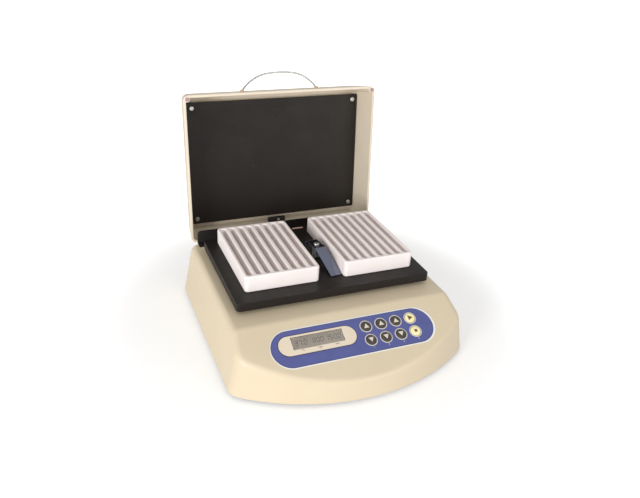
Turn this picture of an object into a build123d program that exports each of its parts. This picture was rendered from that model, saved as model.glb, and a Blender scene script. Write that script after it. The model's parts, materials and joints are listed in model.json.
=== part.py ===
from build123d import *
import os
from math import cos, radians, sin, sqrt, tan

# Bench thermal mixer: a bow-fronted housing, a heated platform that moves in
# small circles with two slotted plates on it, and a hinged heated lid.
# All sizes are in millimetres and all angles in degrees.
# Drawing frame: X = 0 is the middle, Y = 0 the front edge of the platform,
# Z = 0 the bench, +Y is the back. The lid is drawn closed and turned open.

# Housing
foot_height = 4.0
foot_diameter = 16.0
foot_x = 112.0
foot_front_y = -42.0
foot_rear_y = 150.0
foot_peg_diameter = 6.0
housing_height = 60.5
housing_top_width = 266.5
housing_base_width = 289.0
housing_wall = 3.0
front_apex_y = -105.0
front_draft = 8.5
rear_wall_y = 183.2
bow_radius = 235.0
front_corner_radius = 20.0
rear_corner_radius = 15.0
shoulder_radius = 8.0
crease_y = -24.2
crease_radius = 14.0
slope_angle = 25.7

# Base plate and its screws
base_plate_thickness = 2.0
base_plate_gap = 0.5
vent_count = 7
vent_pitch = 9.0
vent_width = 3.0
vent_length = 46.0
vent_y = 118.0
vent_x = 74.0
boss_diameter = 9.0
base_boss_x = 118.0
base_boss_front_y = -16.0
base_boss_rear_y = 164.0
screw_diameter = 3.0
screw_head_diameter = 5.6
screw_head_height = 2.0
screw_clearance = 0.05
screw_grip = 8.0

# Control face, measured along the slope from the crease
overlay_x = -1.7
overlay_s = 34.9
overlay_width = 193.3
overlay_height = 43.4
overlay_thickness = 0.5
surround_x = -44.7
surround_s = 31.4
surround_width = 90.4
surround_height = 23.5
surround_thickness = 0.4
window_x = -44.3
window_s = 29.4
window_width = 59.9
window_height = 14.9
window_thickness = 1.6
window_clearance = 0.2
display_depth = 7.0
display_margin = 3.0
board_width = 184.0
board_height = 42.0
board_thickness = 1.6
board_post_diameter = 6.0
board_post_inset = 5.0

# Keys
key_first_x = 15.1
key_pitch = 18.6
key_up_s = 25.1
key_down_s = 42.5
key_diameter = 11.8
key_proud = 1.5
key_dome_radius = 1.0
key_clearance = 0.3
key_body_depth = 2.2
key_stem_diameter = 4.0
key_travel = 0.4
switch_side = 6.0
switch_height = 3.6
switch_play = 0.1

# Chassis inside the housing
chassis_drop = 11.5
chassis_thickness = 3.0
chassis_width = 220.0
chassis_depth = 128.0
chassis_boss_x = 102.0
chassis_boss_dy = 26.0
bearing_land = 3.0
hub_wall = 4.0

# Motor and drive
shaft_diameter = 8.0
main_bearing_diameter = 22.0
main_bearing_height = 7.0
motor_diameter = 44.0
motor_height = 33.0
motor_wall = 2.0
motor_floor = 4.0
magnet_gap = 0.6
magnet_thickness = 5.5
rotor_length = 20.0
rotor_lift = 3.0
motor_bolt_radius = 18.6
orbit_radius = 1.0
eccentric_diameter = 5.6
eccentric_top_gap = 0.5
weight_radius = 22.0
weight_height = 5.0
weight_hub_radius = 8.0
running_gap = 0.05
axial_gap = 0.3

# Idler cranks
crank_x = 92.0
crank_dy = 52.0
crank_lower_diameter = 6.0
crank_shank_diameter = 7.0
crank_upper_diameter = 5.0
crank_web_diameter = 11.0
crank_web_height = 5.0
crank_bearing_diameter = 13.0
crank_bearing_height = 6.0
crank_hole_diameter = 17.0
drive_hole_diameter = 22.0

# Platform
platform_width = 240.7
platform_depth = 158.0
platform_thickness = 10.1
platform_gap = 4.5
platform_corner_radius = 5.0
platform_edge = 0.6
hub_bearing_diameter = 17.0
platform_bearing_height = 5.0
heater_thickness = 1.0
heater_margin = 8.0
heater_hole_gap = 1.0
probe_diameter = 4.0
probe_length = 34.0
probe_depth = 30.0
probe_x = -20.0
cutout_length = 16.0
cutout_diameter = 4.4
cutout_x = 8.8

# Plates with slots
plate_width = 90.0
plate_length = 127.76
plate_height = 20.1
plate_gap = 31.5
plate_front_y = 20.4
plate_middle_x = 0.55
plate_corner_radius = 4.5
plate_edge = 0.8
plate_floor = 3.0
slot_count = 8
slot_pitch = 10.85
slot_width = 6.2
slot_end_wall = 4.5

# Clip between the plates
clip_x = 2.3
clip_y = 77.1
clip_turn = 7.0
clip_back_width = 13.7
clip_tip_width = 14.6
clip_thickness = 1.0
clip_rise = 17.6
clip_back_reach = 13.0
clip_flange_drop = 7.0
clip_flange_reach = 2.5
clip_bend_reach = 9.6
clip_tip_reach = 51.5
clip_tip_gap = 0.4
clip_bend_radius = 3.5
clip_post_diameter = 5.0
clip_post_gap = 0.1
clip_screw_head_diameter = 7.0
clip_screw_head_height = 2.2
spring_wire = 1.0
spring_turns = 5.0
spring_clearance = 0.5

# Rail behind the platform
rail_width = 247.0
rail_front_y = 178.8
rail_thickness = 1.6
rail_height = 17.4
rail_foot = 13.0
rail_corner_cut = 5.0

# Lid
lid_width = 259.6
lid_length = 193.9
lid_depth = 50.0
lid_gap = 1.5
lid_wall = 3.5
lid_draft = 8.0
lid_corner_radius = 8.0
roof_radius = 6.5
lid_open_angle = 94.9
panel_depth = 35.8
panel_side_inset = 10.0
panel_front_inset = 16.8
panel_rear_inset = 12.0
panel_thickness = 3.0
panel_screw_inset = 7.0
panel_post_diameter = 8.0
insulation_thickness = 5.0
insulation_margin = 4.0
insulation_post_gap = 1.0
panel_screw_head_diameter = 6.0
panel_screw_head_height = 1.2
bumper_inset = 5.0
bumper_post_diameter = 7.0
bumper_diameter = 5.0
bumper_seat = 1.5
bumper_gap = 0.3
clamp_width = 24.0
clamp_reach = 6.0
clamp_height = 6.0
clamp_depth = 31.0

# Handle
handle_depth = 20.0
handle_half_span = 51.0
handle_rise = 22.7
handle_foot_share = 0.18
handle_shoulders = [(0.69, 0.68), (0.29, 1.0)]
handle_foot_bend = 4.0
handle_shoulder_bends = [40.0, 60.0]
handle_middle_x = 0.7
wire_diameter = 2.4
wire_clearance = 0.1
ferrule_diameter = 5.2
ferrule_height = 2.0

# Hinges
hinge_x = 85.0
hinge_width = 44.0
knuckle_radius = 2.5
knuckle_count = 5
knuckle_gap = 0.3
hinge_pin_diameter = 2.0
leaf_thickness = 0.8
leaf_height = 16.0
leaf_relief = 0.45
hinge_below_top = 1.55

# Power inlet and switch on the back wall
jack_x = 62.0
jack_z = 30.0
jack_thread_diameter = 11.0
jack_flange_diameter = 14.0
jack_flange_thickness = 1.5
jack_body_side = 13.0
jack_body_depth = 12.0
jack_bore_diameter = 6.4
jack_bore_depth = 9.5
jack_pin_diameter = 2.1
rocker_x = -62.0
rocker_z = 30.0
rocker_width = 13.0
rocker_radius = 6.6
rocker_face = 4.4
rocker_apex = 3.1
rocker_back = 3.4
rocker_end_z = 4.9
rocker_tilt = 9.0
rocker_clearance = 0.35
rocker_inset = 3.2
trunnion_diameter = 2.0
trunnion_length = 1.2
switch_flange_margin = 3.0
switch_flange_thickness = 1.5
switch_wall = 2.0
switch_depth = 14.0

# Heights and places that follow from the sizes above
top_z = foot_height + housing_height
inner_top_z = top_z - housing_wall
plate_seat_z = foot_height + base_plate_thickness
chassis_top_z = inner_top_z - chassis_drop
chassis_z = chassis_top_z - chassis_thickness
platform_z = top_z + platform_gap
platform_top_z = platform_z + platform_thickness
platform_y = platform_depth / 2
lid_z = top_z + lid_gap
hinge_y = rear_wall_y + knuckle_radius
hinge_z = top_z - hinge_below_top
lid_rear_y = hinge_y + knuckle_radius - leaf_thickness
lid_front_y = lid_rear_y - lid_length
face_plane = Plane(
    origin=(0, crease_y, top_z),
    x_dir=(1, 0, 0),
    z_dir=(0, -sin(radians(slope_angle)), cos(radians(slope_angle))),
)


def rod(diameter, low, high, x=0.0, y=0.0):
    """Upright cylinder between two heights."""
    return Pos(x, y, low) * Cylinder(
        diameter / 2, high - low, align=(Align.CENTER, Align.CENTER, Align.MIN)
    )


def rod_x(diameter, left, right, y, z):
    """Cylinder along X between two places."""
    return Pos(left, y, z) * Rot(0, 90, 0) * Cylinder(
        diameter / 2, right - left, align=(Align.CENTER, Align.CENTER, Align.MIN)
    )


def rod_y(diameter, front, back, x, z):
    """Cylinder along Y between two places."""
    return Pos(x, front, z) * Rot(-90, 0, 0) * Cylinder(
        diameter / 2, back - front, align=(Align.CENTER, Align.CENTER, Align.MIN)
    )


def block(x_range, y_range, z_range):
    """Box between two places on each axis."""
    size = [high - low for low, high in (x_range, y_range, z_range)]
    corner = [low for low, high in (x_range, y_range, z_range)]
    return Pos(*corner) * Box(*size, align=(Align.MIN, Align.MIN, Align.MIN))


def ring(outer, bore, low, high, x=0.0, y=0.0):
    """Upright ring, such as a ball bearing's outline."""
    return rod(outer, low, high, x, y) - rod(bore, low - 1, high + 1, x, y)


def group(solids):
    """Identical pieces that share one node."""
    return Compound([solid for item in solids for solid in item.solids()])


def on_face(x, s, low, high, outline):
    """Outline on the control face, x across and s down the slope, between two heights above it."""
    plane = face_plane.offset(low)
    return extrude(plane.location * Pos(x, -s, 0) * outline, high - low, dir=face_plane.z_dir)


# Housing shell


def housing_outline(height, inset):
    """Bow-fronted outline at a height above the housing's lower edge."""
    share = height / housing_height
    base_half = housing_base_width / 2
    top_half = housing_top_width / 2
    half = base_half + (top_half - base_half) * share - inset
    apex = front_apex_y + height * tan(radians(front_draft)) + inset
    back = rear_wall_y - inset
    radius = bow_radius - inset
    side_y = apex + radius - sqrt(radius**2 - half**2)
    front = ThreePointArc((-half, side_y), (0, apex), (half, side_y))
    sides = Polyline((half, side_y), (half, back), (-half, back), (-half, side_y))
    outline = make_face(front + sides)
    outline = fillet(outline.vertices().sort_by(Axis.Y)[:2], front_corner_radius - inset)
    return fillet(outline.vertices().sort_by(Axis.Y)[-2:], rear_corner_radius - inset)


def housing_form(inset):
    """Outer form of the housing, or the space inside it when inset by the wall."""
    height = housing_height - inset
    form = loft(
        [
            Pos(0, 0, foot_height) * housing_outline(0, inset),
            Pos(0, 0, foot_height + height) * housing_outline(height, inset),
        ],
        ruled=True,
    )
    reach = 2 * housing_base_width
    above = Box(reach, reach, reach, align=(Align.CENTER, Align.MAX, Align.MIN))
    lower = inset * tan(radians(slope_angle / 2))
    form -= face_plane.offset(-inset).location * Pos(0, lower, 0) * above
    top = form.faces().sort_by(Axis.Z)[-1]
    crease = top.edges().filter_by(Axis.X).sort_by(Axis.Y)[0]
    form = fillet(crease, crease_radius)
    top = form.faces().sort_by(Axis.Z)[-1]
    side_edge = top.edges().filter_by(Axis.Y).sort_by(Axis.X)[-1]
    return fillet(side_edge, shoulder_radius - inset)


def key_places():
    """Name and place of each key: columns to the right, two rows down the slope."""
    places = {}
    for column in range(4):
        x = key_first_x + column * key_pitch
        upper = "key_start" if column == 3 else f"key_up_{column + 1}"
        lower = "key_stop" if column == 3 else f"key_down_{column + 1}"
        places[upper] = (x, key_up_s)
        places[lower] = (x, key_down_s)
    return places


def board_post_places():
    """Four places of the posts that carry the control board."""
    across = board_width / 2 - board_post_inset
    along = board_height / 2 - board_post_inset
    return [(overlay_x + i * across, overlay_s + j * along) for i in (-1, 1) for j in (-1, 1)]


def base_boss_places():
    return [(i * base_boss_x, y) for i in (-1, 1) for y in (base_boss_front_y, base_boss_rear_y)]


def chassis_boss_places():
    middle = platform_y
    return [(i * chassis_boss_x, middle + j * chassis_boss_dy) for i in (-1, 1) for j in (-1, 1)]


def crank_places():
    return [(i * crank_x, platform_y + j * crank_dy) for j in (-1, 1) for i in (-1, 1)]


board_top = -housing_wall - display_depth
board_low = board_top - board_thickness


def base_housing():
    outer = housing_form(0)
    shell = outer - housing_form(housing_wall)
    embed = housing_wall / 2
    pilot = screw_diameter + 2 * screw_clearance
    for x, y in base_boss_places():
        shell += rod(boss_diameter, plate_seat_z, inner_top_z + embed, x, y)
        shell -= rod(pilot, plate_seat_z - 1, plate_seat_z + screw_grip, x, y)
    for x, y in chassis_boss_places():
        shell += rod(boss_diameter, chassis_top_z, inner_top_z + embed, x, y)
        shell -= rod(pilot, chassis_top_z - 1, chassis_top_z + screw_grip, x, y)
    for x, s in board_post_places():
        shell += on_face(x, s, board_top, embed - housing_wall, Circle(board_post_diameter / 2))
    for x, y in crank_places():
        shell -= rod(crank_hole_diameter, inner_top_z - 1, top_z + 1, x, y)
    shell -= rod(drive_hole_diameter, inner_top_z - 1, top_z + 1, 0, platform_y)
    key_hole = Circle(key_diameter / 2 + key_clearance)
    for x, s in key_places().values():
        shell -= on_face(x, s, -housing_wall - 1, 1, key_hole)
    pane_hole = Rectangle(window_width + 2 * window_clearance, window_height + 2 * window_clearance)
    shell -= on_face(window_x, window_s, -housing_wall - 1, 1, pane_hole)
    inside = rear_wall_y - housing_wall - 1
    jack_hole = jack_thread_diameter + 2 * screw_clearance
    shell -= rod_y(jack_hole, inside, rear_wall_y + 1, jack_x, jack_z)
    width = switch_outer_width() + 2 * screw_clearance
    height = switch_outer_height() + 2 * screw_clearance
    shell -= block(
        (rocker_x - width / 2, rocker_x + width / 2),
        (inside, rear_wall_y + 1),
        (rocker_z - height / 2, rocker_z + height / 2),
    )
    return shell


def base_plate():
    outline = housing_outline(0, housing_wall + base_plate_gap)
    sheet = extrude(Pos(0, 0, foot_height) * outline, base_plate_thickness)
    slot = Pos(0, 0, foot_height - 1) * extrude(SlotOverall(vent_length, vent_width), base_plate_thickness + 2)
    for side in (-1, 1):
        for index in range(vent_count):
            y = vent_y - index * vent_pitch
            sheet -= Pos(side * vent_x, y, 0) * slot
    hole = screw_diameter + 2 * screw_clearance
    for x, y in base_boss_places():
        sheet -= rod(hole, foot_height - 1, plate_seat_z + 1, x, y)
    for x, y in foot_places():
        sheet -= rod(foot_peg_diameter + 2 * screw_clearance, foot_height - 1, plate_seat_z + 1, x, y)
    return sheet


def foot_places():
    return [(i * foot_x, y) for i in (-1, 1) for y in (foot_front_y, foot_rear_y)]


def rubber_feet():
    feet = []
    for x, y in foot_places():
        foot = rod(foot_diameter, 0, foot_height, x, y)
        foot = chamfer(foot.edges().sort_by(Axis.Z)[0], foot_height / 4)
        feet.append(foot + rod(foot_peg_diameter, foot_height - 1, plate_seat_z, x, y))
    return group(feet)


def screw_up(x, y, seat, grip):
    """Pan-head screw that comes up from below, its head under the seat."""
    head = rod(screw_head_diameter, seat - screw_head_height, seat, x, y)
    return head + rod(screw_diameter, seat - 1, seat + grip, x, y)


def base_screws():
    grip = base_plate_thickness + screw_grip - 1
    return group([screw_up(x, y, foot_height, grip) for x, y in base_boss_places()])


def chassis_screws():
    grip = chassis_thickness + screw_grip - 1
    return group([screw_up(x, y, chassis_z, grip) for x, y in chassis_boss_places()])


# Control face


def control_overlay():
    film = on_face(overlay_x, overlay_s, 0, overlay_thickness, SlotOverall(overlay_width, overlay_height))
    key_hole = Circle(key_diameter / 2 + key_clearance)
    for x, s in key_places().values():
        film -= on_face(x, s, -1, 1, key_hole)
    pane_hole = Rectangle(window_width + 2 * window_clearance, window_height + 2 * window_clearance)
    return film - on_face(window_x, window_s, -1, 1, pane_hole)


def display_surround():
    top = overlay_thickness + surround_thickness
    outline = SlotOverall(surround_width, surround_height)
    frame = on_face(surround_x, surround_s, overlay_thickness, top, outline)
    pane_hole = Rectangle(window_width + 2 * window_clearance, window_height + 2 * window_clearance)
    return frame - on_face(window_x, window_s, 0, top + 1, pane_hole)


def display_window():
    top = overlay_thickness + surround_thickness / 2
    pane = Rectangle(window_width, window_height)
    return on_face(window_x, window_s, top - window_thickness, top, pane)


def display_module():
    glass_top = overlay_thickness + surround_thickness / 2 - window_thickness
    glass = Rectangle(window_width, window_height)
    body = Rectangle(window_width + 2 * display_margin, window_height + 2 * display_margin)
    module = on_face(window_x, window_s, -housing_wall, glass_top, glass)
    return module + on_face(window_x, window_s, board_top, -housing_wall, body)


def control_board():
    outline = Rectangle(board_width, board_height)
    return on_face(overlay_x, overlay_s, board_low, board_top, outline)


def key_switches():
    body = RectangleRounded(switch_side, switch_side, switch_side / 10)
    top = board_top + switch_height
    return group([on_face(x, s, board_top, top, body) for x, s in key_places().values()])


def key_cap(x, s):
    """Domed cap with a stem that ends just above its switch."""
    cap = on_face(x, s, -key_body_depth, key_proud, Circle(key_diameter / 2))
    upper = cap.edges().filter_by(GeomType.CIRCLE).sort_by(face_plane.location.z_axis)[-1]
    cap = fillet(upper, key_dome_radius)
    stem_low = board_top + switch_height + key_travel + switch_play
    return cap + on_face(x, s, stem_low, -key_body_depth, Circle(key_stem_diameter / 2))


# Chassis, motor and drive


def chassis_plate():
    middle = platform_y
    half = chassis_depth / 2
    plate = block(
        (-chassis_width / 2, chassis_width / 2), (middle - half, middle + half), (chassis_z, chassis_top_z)
    )
    plate = fillet(plate.edges().filter_by(Axis.Z), rear_corner_radius / 2)
    hub = main_bearing_diameter + 2 * hub_wall
    plate += rod(hub, chassis_z, chassis_z + main_bearing_height, 0, middle)
    plate -= rod(main_bearing_diameter, chassis_z - 1, top_z, 0, middle)
    for x, y in crank_places():
        land = crank_bearing_diameter + 2 * bearing_land
        plate += rod(land, chassis_z, chassis_z + crank_bearing_height, x, y)
        plate -= rod(crank_bearing_diameter, chassis_z - 1, top_z, x, y)
    for x, y in chassis_boss_places() + motor_bolt_places():
        plate -= rod(screw_diameter + 2 * screw_clearance, chassis_z - 1, top_z, x, y)
    return plate


def motor_bolt_places():
    reach = motor_bolt_radius * sqrt(0.5)
    return [(i * reach, platform_y + j * reach) for i in (-1, 1) for j in (-1, 1)]


motor_low_z = chassis_z - motor_height
motor_inner_radius = motor_diameter / 2 - motor_wall
shaft_bore = shaft_diameter + 2 * running_gap


def motor_can():
    can = rod(motor_diameter, motor_low_z, chassis_z, 0, platform_y)
    inner_low = motor_low_z + motor_floor
    can -= rod(2 * motor_inner_radius, inner_low, chassis_z - motor_floor, 0, platform_y)
    can -= rod(shaft_bore, motor_low_z + motor_wall, chassis_z + 1, 0, platform_y)
    for x, y in motor_bolt_places():
        can -= rod(screw_diameter + 2 * screw_clearance, chassis_z - motor_floor - 1, chassis_z + 1, x, y)
    return can


def motor_magnets():
    bore = 2 * (motor_inner_radius - magnet_thickness)
    low = motor_low_z + motor_floor
    return ring(2 * motor_inner_radius, bore, low, low + rotor_length, 0, platform_y)


def motor_rotor():
    outer = 2 * (motor_inner_radius - magnet_thickness - magnet_gap)
    low = motor_low_z + motor_floor + rotor_lift
    return ring(outer, shaft_diameter, low, low + rotor_length - rotor_lift, 0, platform_y)


def motor_screws():
    screws = []
    for x, y in motor_bolt_places():
        seat = chassis_top_z
        head = rod(screw_head_diameter, seat, seat + screw_head_height, x, y)
        screws.append(head + rod(screw_diameter, chassis_z - motor_floor + 1, seat + 1, x, y))
    return group(screws)


weight_low_z = chassis_z + main_bearing_height + axial_gap
weight_top_z = weight_low_z + weight_height
pocket_top_z = platform_z + platform_bearing_height


def main_bearing():
    return ring(main_bearing_diameter, shaft_bore, chassis_z, chassis_z + main_bearing_height, 0, platform_y)


def crank_bearings():
    bore = crank_lower_diameter + 2 * running_gap
    high = chassis_z + crank_bearing_height
    return group([ring(crank_bearing_diameter, bore, chassis_z, high, x, y) for x, y in crank_places()])


def drive_shaft():
    low = motor_low_z + motor_wall + axial_gap
    shaft = rod(shaft_diameter, low, weight_top_z, 0, platform_y)
    pin_top = pocket_top_z - eccentric_top_gap
    return shaft + rod(eccentric_diameter, weight_top_z - 1, pin_top, orbit_radius, platform_y)


def counterweight():
    """Half disc on the side away from the eccentric pin."""
    disc = rod(2 * weight_radius, weight_low_z, weight_top_z, 0, platform_y)
    far = 2 * weight_radius
    half = block((0, far), (platform_y - far, platform_y + far), (weight_low_z - 1, weight_top_z + 1))
    disc -= half
    disc += rod(2 * weight_hub_radius, weight_low_z, weight_top_z, 0, platform_y)
    return disc - rod(shaft_diameter, weight_low_z - 1, weight_top_z + 1, 0, platform_y)


def idler_crank(x, y):
    """Lower pin in the chassis, upper pin offset by the orbit's radius."""
    web_low = chassis_z + crank_bearing_height + axial_gap
    web_high = web_low + crank_web_height
    crank = rod(crank_lower_diameter, chassis_z, web_low + 1, x, y)
    crank += rod(crank_web_diameter, web_low, web_high, x, y)
    crank += rod(crank_shank_diameter, web_high - 1, platform_z - axial_gap, x + orbit_radius, y)
    pin_top = pocket_top_z - eccentric_top_gap
    return crank + rod(crank_upper_diameter, web_high, pin_top, x + orbit_radius, y)


# Platform


def platform_plate():
    plate = block(
        (-platform_width / 2, platform_width / 2), (0, platform_depth), (platform_z, platform_top_z)
    )
    plate = fillet(plate.edges().filter_by(Axis.Z), platform_corner_radius)
    plate = chamfer(plate.faces().sort_by(Axis.Z)[-1].edges(), platform_edge)
    plate -= rod(hub_bearing_diameter, platform_z - 1, pocket_top_z, orbit_radius, platform_y)
    for x, y in crank_places():
        plate -= rod(crank_bearing_diameter, platform_z - 1, pocket_top_z, x + orbit_radius, y)
    bore = probe_diameter + 2 * screw_clearance
    back = platform_depth
    plate -= rod_y(bore, back - probe_depth, back + 1, probe_x, platform_z + platform_thickness / 2)
    return plate


def platform_heater():
    middle = platform_y
    across = platform_width / 2 - heater_margin
    along = platform_depth / 2 - heater_margin
    mat = block((-across, across), (middle - along, middle + along), (platform_z - heater_thickness, platform_z))
    mat = fillet(mat.edges().filter_by(Axis.Z), heater_margin)
    low = platform_z - heater_thickness - 1
    hub = hub_bearing_diameter + 2 * heater_hole_gap
    mat -= rod(hub, low, platform_z + 1, orbit_radius, middle)
    for x, y in crank_places():
        hole = crank_bearing_diameter + 2 * heater_hole_gap
        mat -= rod(hole, low, platform_z + 1, x + orbit_radius, y)
    return mat


def hub_bearing():
    bore = eccentric_diameter + 2 * running_gap
    return ring(hub_bearing_diameter, bore, platform_z, pocket_top_z, orbit_radius, platform_y)


def platform_bearings():
    bore = crank_upper_diameter + 2 * running_gap
    outer = crank_bearing_diameter
    return group(
        [ring(outer, bore, platform_z, pocket_top_z, x + orbit_radius, y) for x, y in crank_places()]
    )


def platform_probe():
    start = platform_depth - probe_depth
    return rod_y(probe_diameter, start, start + probe_length, probe_x, platform_z + platform_thickness / 2)


def thermal_cutout():
    """Pill-shaped cut-out held against the platform's back edge."""
    y = platform_depth + cutout_diameter / 2
    z = platform_top_z - cutout_diameter / 2
    half = cutout_length / 2
    pill = rod_x(cutout_diameter, cutout_x - half, cutout_x + half, y, z)
    return fillet(pill.edges().filter_by(GeomType.CIRCLE), cutout_diameter / 2 - 0.2)


# Plates


def slotted_plate(middle_x):
    """Plate whose long slots run from front to back, open at the top."""
    half = plate_width / 2
    plate = block(
        (middle_x - half, middle_x + half),
        (plate_front_y, plate_front_y + plate_length),
        (platform_top_z, platform_top_z + plate_height),
    )
    plate = fillet(plate.edges().filter_by(Axis.Z), plate_corner_radius)
    plate = fillet(plate.faces().sort_by(Axis.Z)[-1].edges(), plate_edge)
    length = plate_length - 2 * slot_end_wall
    depth = plate_height - plate_floor
    slot = extrude(Rot(0, 0, 90) * SlotOverall(length, slot_width), depth + 1)
    middle_y = plate_front_y + plate_length / 2
    for index in range(slot_count):
        x = middle_x + (index - (slot_count - 1) / 2) * slot_pitch
        plate -= Pos(x, middle_y, platform_top_z + plate_floor) * slot
    return plate


plate_offset = (plate_width + plate_gap) / 2


# Clip


def clip_place():
    """The clip's own frame: origin on the platform under its screw, turned as it rests."""
    return Pos(clip_x, clip_y, platform_top_z) * Rot(0, 0, clip_turn)


def plate_clip():
    middle = clip_rise - clip_thickness / 2
    tip = clip_tip_gap + clip_thickness / 2
    run = FilletPolyline(
        (-clip_back_reach - clip_flange_reach, middle - clip_flange_drop),
        (-clip_back_reach, middle),
        (clip_bend_reach, middle),
        (clip_tip_reach, tip),
        radius=clip_bend_radius,
    )
    section = trace(run, clip_thickness)
    side = Plane(origin=(clip_tip_width, 0, 0), x_dir=(0, -1, 0), z_dir=(-1, 0, 0))
    strip = extrude(side.location * section, 2 * clip_tip_width, dir=(-1, 0, 0))
    far = clip_back_reach + 2 * clip_flange_reach
    outline = Polyline(
        (-clip_back_width / 2, far),
        (clip_back_width / 2, far),
        (clip_back_width / 2, -clip_bend_reach),
        (clip_tip_width / 2, -clip_tip_reach - 2),
        (-clip_tip_width / 2, -clip_tip_reach - 2),
        (-clip_back_width / 2, -clip_bend_reach),
        close=True,
    )
    strip &= extrude(make_face(outline), clip_rise + 1)
    strip -= rod(clip_post_diameter + 2 * running_gap, clip_rise - 2 * clip_thickness, clip_rise + 1)
    return clip_place() * strip


def clip_post():
    """Post that the clip turns on, with a shoulder under the strip."""
    shoulder = clip_rise - clip_thickness - clip_post_gap
    post = rod(clip_post_diameter + 2, 0, shoulder)
    return clip_place() * (post + rod(clip_post_diameter, shoulder - 1, clip_rise + clip_post_gap))


def clip_screw():
    low = clip_rise + clip_post_gap
    head = rod(clip_screw_head_diameter, low, low + clip_screw_head_height)
    head = fillet(head.edges().sort_by(Axis.Z)[-1], clip_screw_head_height / 2)
    return clip_place() * head


def clip_spring():
    """Coil spring round the post, from the platform to the strip."""
    radius = clip_post_diameter / 2 + 1 + spring_clearance + spring_wire / 2
    high = clip_rise - clip_thickness - clip_post_gap - 2 * spring_clearance
    height = high - spring_wire
    path = Pos(0, 0, spring_wire / 2) * Helix(height / spring_turns, height, radius)
    start = Plane(origin=path @ 0, z_dir=path % 0)
    return clip_place() * sweep(start.location * Circle(spring_wire / 2), path)


# Rail


def seal_rail():
    """Bent sheet that stands behind the platform, its foot on the housing's top."""
    half = rail_width / 2
    back = rail_front_y + rail_thickness
    rail = block((-half, half), (back - rail_foot, back), (top_z, top_z + rail_thickness))
    rail += block((-half, half), (rail_front_y, back), (top_z, top_z + rail_height))
    upper = rail.edges().filter_by(Axis.Y).group_by(Axis.Z)[-1]
    return fillet(upper, rail_corner_cut)


# Lid, drawn closed


def lid_outline(height, inset):
    """Rounded outline of the lid at a height above its rim."""
    draw_in = height * tan(radians(lid_draft))
    width = lid_width - 2 * draw_in - 2 * inset
    length = lid_length - draw_in - 2 * inset
    radius = lid_corner_radius - inset / 2
    middle = (lid_front_y + draw_in + lid_rear_y) / 2
    return Pos(0, middle, lid_z + height) * RectangleRounded(width, length, radius)


def lid_form(inset):
    """Outer form of the lid, or the space inside it when inset by the wall."""
    height = lid_depth - inset
    form = loft([lid_outline(0, inset), lid_outline(height, inset)], ruled=True)
    top = form.faces().sort_by(Axis.Z)[-1]
    return fillet(top.edges(), roof_radius - inset)


panel_z = lid_z + panel_depth
panel_half_width = lid_width / 2 - panel_side_inset
panel_front_y = lid_front_y + panel_front_inset
panel_rear_y = lid_rear_y - panel_rear_inset
roof_inner_z = lid_z + lid_depth - lid_wall
panel_back_z = panel_z + panel_thickness


def panel_screw_places():
    x = panel_half_width - panel_screw_inset
    front = panel_front_y + panel_screw_inset
    rear = panel_rear_y - panel_screw_inset
    return [(i * x, y) for i in (-1, 1) for y in (front, rear)]


def bumper_places():
    return [(i * (lid_width / 2 - bumper_inset), lid_front_y + bumper_inset) for i in (-1, 1)]


def handle_feet():
    return [handle_middle_x + i * handle_half_span for i in (-1, 1)]


handle_z = lid_z + handle_depth
handle_wall_y = lid_front_y + handle_depth * tan(radians(lid_draft))


def lid_shell():
    outer = lid_form(0)
    shell = outer - lid_form(lid_wall)
    for x, y in panel_screw_places():
        shell += rod(panel_post_diameter, panel_back_z, roof_inner_z + 1, x, y)
        pilot = screw_diameter + 2 * screw_clearance
        shell -= rod(pilot, panel_back_z - 1, panel_back_z + screw_grip - 1, x, y)
    corner_posts = [rod(bumper_post_diameter, lid_z, roof_inner_z + 1, x, y) for x, y in bumper_places()]
    for post, place in zip(corner_posts, bumper_places()):
        shell += post & outer
        shell -= rod(bumper_diameter, lid_z - 1, lid_z + bumper_seat, *place)
    hole = wire_diameter + 2 * wire_clearance
    for x in handle_feet():
        shell -= rod_y(hole, handle_wall_y - 2, handle_wall_y + lid_wall + 2, x, handle_z)
    return shell


def heater_panel():
    plate = block(
        (-panel_half_width, panel_half_width), (panel_front_y, panel_rear_y), (panel_z, panel_back_z)
    )
    plate = fillet(plate.edges().filter_by(Axis.Z), plate_edge)
    for x, y in panel_screw_places():
        plate -= rod(screw_diameter + 2 * screw_clearance, panel_z - 1, panel_back_z + 1, x, y)
    return plate


def lid_insulation():
    half = panel_half_width - insulation_margin
    front = panel_front_y + insulation_margin
    rear = panel_rear_y - insulation_margin
    high = panel_back_z + insulation_thickness
    sheet = block((-half, half), (front, rear), (panel_back_z, high))
    for x, y in panel_screw_places():
        hole = panel_post_diameter + 2 * insulation_post_gap
        sheet -= rod(hole, panel_back_z - 1, high + 1, x, y)
    return sheet


def panel_screws():
    screws = []
    for x, y in panel_screw_places():
        head = rod(panel_screw_head_diameter, panel_z - panel_screw_head_height, panel_z, x, y)
        shank = rod(screw_diameter, panel_z - 1, panel_back_z + screw_grip - 2, x, y)
        screws.append(head + shank)
    return group(screws)


def lid_bumpers():
    low = top_z + bumper_gap
    return group([rod(bumper_diameter, low, lid_z + bumper_seat, x, y) for x, y in bumper_places()])


def cable_clamp():
    """Small clamp on the inside of the lid's back wall."""
    back = lid_rear_y - lid_wall
    low = lid_z + clamp_depth
    clamp = block((-clamp_width / 2, clamp_width / 2), (back - clamp_reach, back), (low, low + clamp_height))
    front_edges = clamp.edges().filter_by(Axis.X).group_by(Axis.Y)[0]
    return fillet(front_edges, clamp_height / 4)


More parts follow.
